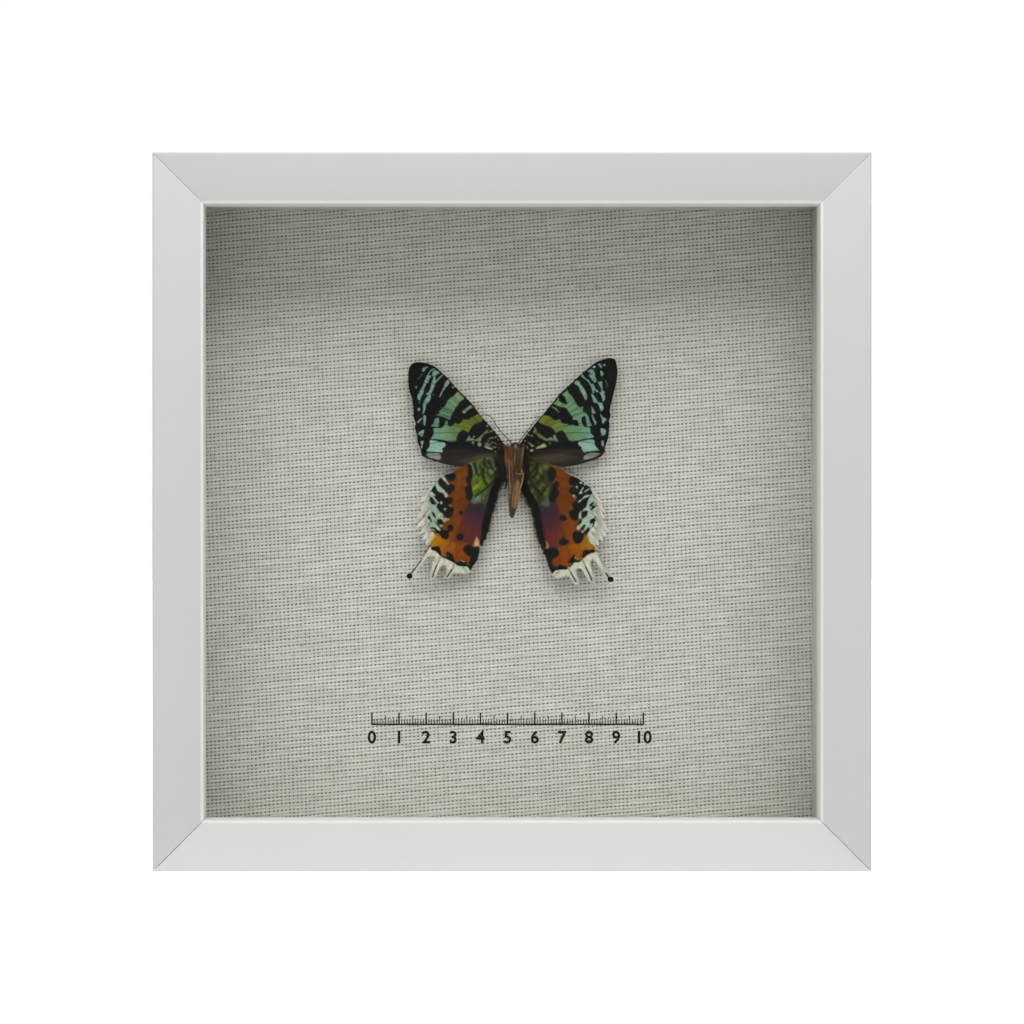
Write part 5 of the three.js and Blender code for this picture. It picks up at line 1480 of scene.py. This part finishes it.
for points in (
    [(28, -15.9), (28.8, -15.2), (29.4, -15), (29.5, -15.4), (29.1, -15.9), (29.3, -16.3), (30.3, -16.1),
     (30.2, -16.7), (29.5, -17.3), (28.8, -17.8), (28.2, -17.9), (28.3, -17.4), (28.8, -17), (28.7, -16.6),
     (28, -16.5)],
    [(25, -19), (25.5, -18.4), (26.4, -18.1), (27.2, -18.1), (27.3, -18.8), (27, -19.8), (26.4, -20.4),
     (25.5, -20.9), (25.1, -20.6)],
    [(28, -21.8), (28.6, -21.2), (29.4, -20.9), (30.1, -20.2), (30.3, -20.6), (29.8, -21.1), (30.3, -21.6),
     (29.8, -22), (29.7, -22.9), (29.4, -23.6), (28.9, -24), (29.1, -23.4), (29.2, -22.7), (28.6, -22.8),
     (28.1, -22.7)],
    [(23.3, -23.6), (23.8, -22.8), (24.2, -22), (24.8, -21.2), (25.1, -21.6), (25, -22.5), (24.2, -23.1),
     (23.5, -23.8)],
    [(25, -25.1), (24.8, -24.4), (25.4, -23.8), (26, -23.2), (26.5, -23.4), (26.3, -24), (25.9, -24.6),
     (25.3, -25.2)],
    [(26, -26.6), (26.3, -25.8), (26.9, -24.8), (27.3, -24.3), (28, -24.2), (28, -24.8), (27.7, -25.7),
     (27.1, -26.4), (26.1, -27)],
    [(22, -26), (22.7, -25.6), (24, -25.6), (24.9, -25.9), (25.8, -26.6), (25.9, -27.6), (25.5, -28.6),
     (25, -29.5), (24.2, -30.1), (23.2, -30.2), (22.5, -29.7), (22, -28.7), (21.8, -27.5)],
    [(17, -20.2), (17.8, -19.5), (18.8, -19.8), (19.6, -20.6), (19.5, -21.3), (18.8, -21.8), (17.9, -21.9),
     (17.2, -21.3)],
    [(16.6, -29.9), (17.1, -28.9), (17.8, -28.1), (18.4, -27.7), (18.9, -27.9), (19, -28.5), (19.8, -28.7),
     (20.3, -29.1), (20.2, -29.8), (19.4, -30.4), (18.3, -30.8), (17.3, -30.7)],
    [(25.8, -32.8), (26.8, -32.5), (28, -32.5), (29.3, -32.2), (29.7, -32.8), (29.9, -33.3), (29.1, -33.4),
     (28.1, -33.8), (27.1, -34.4), (26.3, -35), (25.7, -35.3), (25.2, -35), (25.3, -34.3), (25.6, -33.5)],
    [(20, -36.9), (20.7, -36), (21.5, -35.1), (22, -34.3), (22.6, -34.2), (22.7, -34.6), (22.3, -35.3),
     (22.8, -35.7), (23.4, -36.1), (24.3, -36), (24.5, -36.5), (24.1, -36.9), (22.3, -37.1), (21.8, -37.8),
     (21.2, -38.4), (20.9, -38.3), (21.4, -37.6), (21.2, -37.1), (20.4, -37.2)],
    [(11, -33), (11.2, -32.4), (12, -32.1), (12.9, -32.1), (13.1, -31.9), (13.9, -31.5), (14.9, -31.5),
     (15.9, -31.9), (16.6, -32.7), (16.9, -33.7), (16.6, -34.6), (16, -35.1), (15, -35.5), (14.3, -36),
     (14.1, -37), (14.3, -38), (15.1, -38.6), (16, -38.6), (16.6, -38), (17.5, -37.9), (18.6, -38.2),
     (19.3, -38.8), (19.9, -39.3), (19.3, -39.7), (17.5, -39.7), (15.5, -40), (14.6, -40.6), (14.1, -41.1),
     (13.2, -39.9), (12.4, -38), (11.8, -36), (11.1, -34)],
):
    wing.area(SOOT, points)
wing.line(MINT_WHITE, 0.45, [(25.2, -25.9), (26.4, -24.8)])
for colour, width, midrib in (
    (SOOT, 0.5, [(30.4, -32.8), (31, -33.2)]),
    ((150, 150, 122), 0.4, [(31, -34), (32.4, -37), (33.4, -39.6)]),
    (SOOT, 0.55, [(34, -41), (34.8, -42.4), (35.4, -43.4)]),
    ((118, 118, 88), 0.5, [(25.2, -35.8), (25.9, -37.2), (26.5, -38.4)]),
    (SOOT, 0.5, [(26.5, -38.6), (27.4, -40.4), (28.1, -41.9), (28.8, -43.6)]),
    ((134, 132, 96), 0.6, [(20.3, -38.8), (20.5, -39.8), (21, -40.6)]),
    (SOOT, 0.5, [(21.1, -40.8), (22, -42.4), (23, -44)]),
    ((60, 60, 44), 0.5, [(22.1, -37), (21.4, -37.8), (20.9, -38.5)]),
    ((120, 118, 88), 0.5, [(16.6, -40.5), (15.8, -41.2)]),
):
    wing.line(colour, width, midrib, soft=0.18, strength=0.9)
wing.line(MINT_WHITE, 0.35, [(28.1, -24), (28.9, -23.1)])
wing.spot((140, 136, 116), 22.8, -35.3, 0.35)
wing.spot((140, 136, 116), 23.6, -35.9, 0.3)
wing.area(
    (166, 128, 70), [(10.8, -29.4), (11.8, -28.9), (12.8, -30.2), (12.9, -31.7), (11.4, -32), (10.9, -31)], soft=0.5
)
wing.vein_lines(0.3, 0.16)
thicken(wing, scale_look)
# The longest tail on each side ends in a black ball of scales.
BALL_RADIUS = 1.0
for ball in ((-37.9, -42), (35.6, -43.2)):
    depth = wing_depth(np.array([ball]), HINDWING_AHEAD)[0]
    deselect(action="DESELECT")
    bpy.ops.mesh.primitive_uv_sphere_add(
        segments=20,
        ring_count=12,
        radius=BALL_RADIUS * MM,
        location=((ball[0] + MOTH_X) * MM, depth * MM, (ball[1] + MOTH_Z) * MM),
        scale=(1.1, 0.6, 1),
    )
    knob = bpy.context.object
    bpy.ops.object.transform_apply(location=True, scale=True)
    smooth(knob, 80)
    places = np.array([(v.co.x / MM - MOTH_X, v.co.z / MM - MOTH_Z) for v in knob.data.vertices])
    Skin(knob, places, BLACK).stain(scale_look)

# The body: a furry brown thorax, an abdomen whose rings have dried to ridges, and a small black head.
# The legs are folded flat along it, and the hairlike antennae are swept back beside the wings.
BODY = [
    (-20.9, -0.4, 0), (-20.3, -0.4, 0.7), (-19, -0.3, 1.2), (-17, -0.1, 1.6), (-15, 0, 1.85), (-12, 0.3, 2.2),
    (-9, 0.4, 2.4), (-6, 0.5, 2.7), (-3, 0.4, 3), (0, 0.2, 3.3), (2.6, 0.2, 3.4), (4.2, 0.3, 3), (5.2, 0.6, 2),
    (6, 0.8, 1.2), (6.8, 0.8, 0.8), (7.1, 0.8, 0),
]
BODY_MIDDLE = linen_low.y - 0.3 - 3.5
RING_PITCH = 1.9
RING_DEPTH = 0.07
profile = rounded(np.array(BODY), closed=False, steps=4)

body_look = Finish("dried_body", {"Specular IOR Level": 0.4, "Sheen Weight": 0.1})
body_colour = body_look.node("ShaderNodeVertexColor", {"layer_name": "scales"}).outputs["Color"]
strands = body_look.noise(0.12, 3, stretch=(1, 1, 0.12))
grime = body_look.noise(0.7, 3)
body_look.wear(
    base_color=body_look.shade(body_colour, 0.45 + strands * 0.75 + grime * 0.35),
    roughness=0.42 + grime * 0.25,
)
body_look.relief(strands * 0.7 + grime * 0.5, 0.12)


def flat_places(piece):
    """The places of a piece's corners across and up from the middle of the thorax."""
    return np.array([(vertex.co.x / MM - MOTH_X, vertex.co.z / MM - MOTH_Z) for vertex in piece.data.vertices])


deselect(action="DESELECT")
bpy.ops.mesh.primitive_uv_sphere_add(segments=40, ring_count=110, radius=1)
body = bpy.context.object
body.name = "body"
for vertex in body.data.vertices:
    share = math.acos(max(-1, min(1, vertex.co.z))) / math.pi
    up = profile[-1][0] + share * (profile[0][0] - profile[-1][0])
    middle = np.interp(up, profile[:, 0], profile[:, 1])
    radius = max(0.0, np.interp(up, profile[:, 0], profile[:, 2]))
    turn = math.atan2(vertex.co.y, vertex.co.x)
    if up < -4:
        radius *= 1 - RING_DEPTH * abs(math.cos(math.pi * up / RING_PITCH)) ** 6
        radius *= 1 - 0.06 * max(0, math.cos(2 * turn))
    else:
        radius *= 1 + 0.05 * noise.noise(Vector((math.cos(turn) * 2, math.sin(turn) * 2, up * 0.7)))
    vertex.co = (
        (middle + radius * math.cos(turn) + MOTH_X) * MM,
        (BODY_MIDDLE + radius * math.sin(turn)) * MM,
        (up + MOTH_Z) * MM,
    )
smooth(body, 80)
skin = Skin(body, flat_places(body), (100, 73, 44))
skin.area((66, 47, 29), [(-3.4, 5), (3.6, 5), (3.6, -7), (-3.2, -7)], soft=1)
skin.area((138, 88, 40), [(-3, 4.8), (-0.6, 4.8), (-0.6, -1.5), (-2.8, -1.5)], soft=0.6)
skin.area((142, 100, 48), [(1, -7), (2.6, -8), (2, -14), (1, -18), (-0.6, -18), (-0.4, -12)], soft=0.5)
skin.line((22, 18, 14), 0.6, [(-0.3, 5), (-0.2, 0), (-0.1, -7), (-0.8, -14), (-0.9, -18.4)], strength=0.85)
skin.line((34, 28, 22), 0.4, [(1.1, 5), (1.2, -2), (0.6, -10), (-0.1, -17)], strength=0.8)
skin.line((34, 28, 22), 0.4, [(-2.2, 3), (-2.2, -5), (-2.1, -12), (-1.6, -18)], strength=0.7)
skin.area((40, 39, 35), [(-2.4, -17.6), (2, -17.6), (1.2, -21.5), (-2, -21.5)], soft=0.6)
skin.area((20, 19, 18), [(-1.8, 5.2), (3, 5.2), (2.6, 8), (-1.4, 8)], soft=0.5)
skin.stain(body_look, 0.1)

for side in (-1, 1):
    deselect(action="DESELECT")
    bpy.ops.mesh.primitive_uv_sphere_add(
        segments=20,
        ring_count=12,
        radius=0.85 * MM,
        location=((0.6 + side * 0.95 + MOTH_X) * MM, (BODY_MIDDLE - 0.5) * MM, (5.7 + MOTH_Z) * MM),
        scale=(0.8, 1.1, 1),
    )
    eye = bpy.context.object
    bpy.ops.object.transform_apply(location=True, scale=True)
    smooth(eye, 80)
    Skin(eye, flat_places(eye), (24, 22, 20)).stain(body_look)


def add_rod(points, radius, tip):
    """A round rod through points that gets thinner towards its end, in millimetres."""
    deselect(action="DESELECT")
    bpy.ops.curve.primitive_nurbs_path_add()
    rod = bpy.context.object
    curve = rod.data
    curve.splines.clear()
    path = rounded(np.array(points), closed=False, steps=4)
    line = curve.splines.new("POLY")
    line.points.add(len(path) - 1)
    for number, (point, place) in enumerate(zip(line.points, path)):
        point.co = (*(place * MM), 1)
        share = number / (len(path) - 1)
        point.radius = 1 + (tip - 1) * share + 0.12 * math.sin(number * 1.7)
    curve.dimensions = "3D"
    curve.bevel_depth = radius * MM
    curve.bevel_resolution = 2
    curve.use_fill_caps = True
    bpy.ops.object.convert(target="MESH")
    smooth(rod, 70)
    return rod


# Points across, up, and ahead of the body's middle; the first of each row is its colour
LEGS = [
    ((140, 104, 62), [(-2, -0.2, 2.5), (-1.7, -2, 3), (-1.4, -4.4, 2.9), (-1.3, -8, 2.4), (-1, -12, 1.9)]),
    ((104, 66, 32), [(-0.5, 4.8, 2.2), (-0.4, 2, 3), (-0.3, -2, 3.1), (-0.3, -6, 2.8), (-0.6, -10, 2.3)]),
    ((132, 98, 62), [(0.9, 6, 1.2), (0.7, 3.4, 2.9), (0.4, 0, 3.3), (0.4, -1.6, 3.1)]),
    ((78, 52, 31), [(1.6, 5.2, 1.6), (1.9, 2.4, 2.9), (1.8, -1, 3.2), (1.4, -4, 3)]),
    ((100, 86, 54), [(3.9, 6.2, 0.6), (3.6, 4, 1.6), (3.3, 1.6, 2.2), (2.7, -0.6, 2.7), (2.5, -3, 2.8)]),
    ((172, 136, 94), [(3, -3.2, 2.4), (3, -4.5, 2.9), (2.2, -4.8, 3.4), (1, -4.5, 3.1)]),
    ((150, 112, 66), [(3.5, -4.2, 2.4), (3.5, -6, 2.4), (3, -8.4, 2.1), (2.3, -11, 1.9), (1.6, -14, 1.5)]),
]
for colour, points in LEGS:
    path = [(u + MOTH_X, BODY_MIDDLE - ahead, v + MOTH_Z) for u, v, ahead in points]
    leg = add_rod(path, 0.38, 0.5)
    Skin(leg, flat_places(leg), colour).stain(body_look)
    deselect(action="DESELECT")

ANTENNAE = [
    [(0, 6.3), (-1.2, 7.3), (-3, 9.4), (-5.1, 11.7), (-6.9, 14.4), (-8.1, 16.2), (-9.4, 16.9), (-11.4, 17.1)],
    [(1, 6), (2, 6.6), (2.9, 8), (4, 9.6), (5.2, 11.2), (7.6, 14.2), (9.4, 16.5)],
]
for points in ANTENNAE:
    path = [(u + MOTH_X, WING_ROOT - 1.4 + 0.1 * i, v + MOTH_Z) for i, (u, v) in enumerate(points)]
    antenna = add_rod(path, 0.2, 0.55)
    Skin(antenna, flat_places(antenna), (26, 24, 22)).stain(body_look)

deselect(action="DESELECT")
for part in moth_parts:
    part.select_set(True)
bpy.context.view_layer.objects.active = moth_parts[0]
bpy.ops.object.join()
moth = bpy.context.object
moth.name = "dried_moth"
belongs(moth, "dried_insect", "moth")

# Its hair: white tufts along the hindwings and tails, black hair on their inner edges, and grey and
# brown fur round the thorax. Each hair is a slender three-sided blade.
STRAND_WIDTH = 0.14
random = np.random.default_rng(7)
hair_look = Finish("moth_hair", {"Roughness": 0.6, "Specular IOR Level": 0.25})
hair_look.wear(
    base_color=hair_look.shade(
        hair_look.node("ShaderNodeVertexColor", {"layer_name": "scales"}).outputs["Color"],
        0.8 + hair_look.noise(0.3, 2) * 0.4,
    )
)
strand_rows = []


def grow(count, root, tip, colour, spread=0.5, gather=0.3, lift=0.0, ahead=HINDWING_AHEAD, width=1.0):
    """A tuft of hairs whose roots lie along a line and whose tips lie along another."""
    root, tip = (np.array(ends, float).reshape(-1, 2) for ends in (root, tip))
    for _ in range(count):
        share = random.random()
        start = root[0] + (root[-1] - root[0]) * share + random.normal(0, spread, 2) * 0.5
        end = tip[0] + (tip[-1] - tip[0]) * share + random.normal(0, gather, 2)
        end = start + (end - start) * random.uniform(0.72, 1.0)
        bow = random.normal(0, 0.16)
        rise_root, rise_tip = random.uniform(0.02, 0.12), random.uniform(0.05, 0.3) + lift
        shade = random.uniform(0.78, 1.12)
        strand_rows.append((start, end, bow, rise_root, rise_tip, ahead, width, np.array(colour) * shade))


def add_hair(name):
    """Makes the hairs that were grown since the last call, as one mesh of copies of one blade."""
    deselect(action="DESELECT")
    bpy.ops.mesh.primitive_cone_add(vertices=3, radius1=0.5, radius2=0, depth=1, location=(0, 0, 0.5))
    hair = bpy.context.object
    hair.name = name
    bpy.ops.object.transform_apply(location=True)
    bpy.ops.object.mode_set(mode="EDIT")
    bpy.ops.mesh.select_all(action="SELECT")
    bpy.ops.mesh.bisect(plane_co=(0, 0, 0.55), plane_no=(0, 0, 1))
    bpy.ops.object.mode_set(mode="OBJECT")
    blade = bmesh.new()
    blade.from_mesh(hair.data)
    bmesh.ops.triangulate(blade, faces=blade.faces)
    for vertex in blade.verts:
        if near(vertex.co.z, 0.55):
            vertex.co.xy = vertex.co.xy * 1.7
    shape = np.array([vertex.co for vertex in blade.verts])
    faces = np.array([[vertex.index for vertex in face.verts] for face in blade.faces])
    blade.free()
    places, colours = [], []
    for start, end, bow, rise_root, rise_tip, ahead, width, colour in strand_rows:
        run = end - start
        length = math.hypot(*run)
        side = np.array([-run[1], run[0]]) / length
        along, thick = shape[:, 2], shape[:, :2] * STRAND_WIDTH * width
        flat = start + run * along[:, None] + side * (thick[:, :1] + (bow * length * along * (1 - along))[:, None])
        lifted = wing_depth(flat, ahead) - rise_root - (rise_tip - rise_root) * along - thick[:, 1]
        places.append(np.column_stack([flat[:, 0] + MOTH_X, lifted, flat[:, 1] + MOTH_Z]))
        colours.append(np.tile(colour, (len(shape), 1)) * (0.85 + 0.2 * along[:, None]))
    total = len(places)
    corners = (faces[None] + len(shape) * np.arange(total)[:, None, None]).reshape(-1, 3)
    hair.data.clear_geometry()
    hair.data.from_pydata(np.concatenate(places) * MM, [], corners.tolist())
    skin = Skin(hair, flat_places(hair), (0, 0, 0))
    skin.colour = np.concatenate(colours)
    skin.rag *= 0
    skin.streak *= 0
    skin.stain(hair_look)
    smooth(hair, 60)
    moth_parts.remove(hair)
    strand_rows.clear()
    belongs(hair, "dried_insect", "moth")


# White tufts along the outer edge of both hindwings: first root, last root, tip
TUFTS = [
    ((-29, -8.2), (-30.6, -10.6), (-31.6, -12)), ((-30.2, -10.2), (-31.2, -12.6), (-34.8, -15.8)),
    ((-31, -13.2), (-31.4, -15.2), (-33.8, -17.8)), ((-31.4, -15.6), (-31.6, -18.2), (-36, -22.2)),
    ((-31.6, -19.6), (-31.6, -22), (-35.6, -24.8)), ((-31.4, -22.4), (-31, -24.6), (-34.6, -27)),
    ((-31, -24.8), (-30.6, -26.8), (-33.1, -28.9)), ((-30.6, -26.8), (-30.8, -29.2), (-31.9, -30.8)),
    ((28.6, -9.8), (30.2, -12.4), (31.9, -14.9)), ((30.2, -13), (30.9, -15.6), (33.5, -18.8)),
    ((31, -16.4), (31.4, -18.8), (33.4, -21.2)), ((31.4, -19.4), (31.5, -22), (35.1, -26.2)),
    ((31.3, -22.4), (31, -24.6), (34.1, -27.8)), ((30.9, -24.8), (30.3, -27), (32.9, -29.3)),
    ((30.1, -27), (30, -29.6), (31.3, -30.8)),
]
for first, last, tip in TUFTS:
    grow(380, (first, last), tip, (234, 232, 218), spread=0.3, gather=0.13)

# Short white hair round the tails and the arches between them, but not over the dark midribs of the
# two longest tails
LONG_TAIL_MIDRIBS = np.concatenate([
    rounded([(-33.6, -36), (-35.3, -38.3), (-36.6, -40), (-37.8, -41.6)], closed=False),
    rounded([(34, -41), (34.8, -42.4), (35.4, -43.4)], closed=False),
])
for outline in (HINDWING_LEFT, HINDWING_RIGHT):
    edge = rounded([place for place in outline if place[1] < -31.5])[:-10]
    for before, after in zip(edge, edge[1:]):
        along = (after - before) / math.hypot(*(after - before))
        outward = np.array([along[1], -along[0]]) * (-1 if outline is HINDWING_LEFT else 1)
        dark_side = min(math.hypot(*(before - midrib)) for midrib in LONG_TAIL_MIDRIBS) < 0.75
        if before[1] < -33 and not dark_side:
            grow(7, before, before + outward * 0.5 + (0, -0.5), (214, 212, 198), spread=0.2, gather=0.15)
add_hair("moth_white_fringe")

# Black hair along the hindwings' inner edges, which thins out towards their ends
INNER_LEFT = [(-5, -6), (-6.6, -10.5), (-7.6, -14), (-8.6, -18), (-9.6, -22), (-10.2, -25), (-11, -27.6), (-11.6, -29.6)]
INNER_RIGHT = [(3.4, -8), (5.6, -12.6), (7.6, -16), (8.6, -20), (9.2, -24), (9.8, -27), (10.4, -29.4), (10.9, -31)]
for line, side in ((INNER_LEFT, 1), (INNER_RIGHT, -1)):
    for number, ((u, v), (next_u, next_v)) in enumerate(zip(line, line[1:])):
        reach = (1.1, 1.2, 1.2, 1.1, 0.9, 0.5, 0.1)[number]
        roots = [(u - side * 0.8, v), (next_u - side * 0.8, next_v)]
        tips = [(u + side * reach, v - 2.4), (next_u + side * reach * 0.9, next_v - 1.6)]
        far_tips = [(u + side * (reach + 0.9), v - 3), (next_u + side * (reach + 0.7), next_v - 2.4)]
        grow(150 + int(220 * reach), roots, tips, (26, 26, 24), spread=0.9, gather=0.4, width=0.9)
        grow(60, roots, tips, (62, 62, 56), spread=0.9, gather=0.5, width=0.7)
        grow(int(40 * reach), roots, far_tips, (34, 34, 31), spread=0.8, gather=0.7, width=0.7)

# Charcoal and olive fur between the wings and the thorax, and brown fur on its front
for side in (-1, 1):
    for ahead in (HINDWING_AHEAD, HINDWING_AHEAD + 0.5):
        grow(420, [(side * 2.2, 3), (side * 2.6, -5)], [(side * 6, 1.2), (side * 4.6, -9)], (40, 39, 32),
             spread=0.7, gather=0.8, ahead=ahead)
        grow(160, [(side * 2.2, 3), (side * 2.6, -4)], [(side * 5.4, 1.6), (side * 4.2, -7)], (68, 66, 48),
             spread=0.7, gather=0.7, ahead=ahead)
        grow(140, [(side * 2, 5), (side * 2.6, 2)], [(side * 4.2, 6.2), (side * 5.4, 3.4)], (40, 36, 28),
             spread=0.5, gather=0.5, ahead=ahead)
for side, colour in ((-1, (58, 50, 38)), (1, (72, 54, 36))):
    grow(240, [(side * 2.6, 3.6), (side * 2.6, -3)], [(side * 3.8, 1.6), (side * 3.3, -6)], colour,
         spread=0.5, gather=0.5, ahead=1.2)
    grow(60, [(side * 2.5, -3), (side * 2.2, -8)], [(side * 3.1, -6), (side * 2.6, -11)], colour,
         spread=0.4, gather=0.4, ahead=1.2)
grow(170, [(-2.9, 3.6), (-0.5, 4.2)], [(-3.3, 5.6), (-0.6, 5.9)], (128, 82, 38), spread=0.5, gather=0.3, ahead=2.4)
grow(150, [(-2.7, 4.4), (-0.7, 4.2)], [(-2.5, 1.2), (-0.9, 0.6)], (140, 90, 42), spread=0.5, gather=0.4, ahead=4.6)
grow(120, [(1.2, 4.4), (3.6, 4.2)], [(1.5, 6.2), (4.4, 6.3)], (84, 66, 44), spread=0.5, gather=0.3, ahead=1.9)
grow(110, [(0.2, 5.4), (1.4, 5.4)], [(0.4, 7), (1.6, 6.9)], (28, 24, 20), spread=0.3, gather=0.2, ahead=1)
grow(130, [(-3, 4.4), (4, 5)], [(-3.7, 6), (4.9, 6.8)], (54, 40, 26), spread=0.5, gather=0.5, ahead=2.4, width=0.8)
for up in (4.6, 3, 1.2, -0.6, -2.4, -4.2):
    for colour in ((28, 21, 14), (136, 92, 46)):
        grow(12, [(-2.5, up), (3.1, up)], [(-2.4, up - 2.3), (2.9, up - 2.3)], colour,
             spread=0.4, gather=0.35, ahead=4.7, width=0.8)
add_hair("moth_dark_fur")
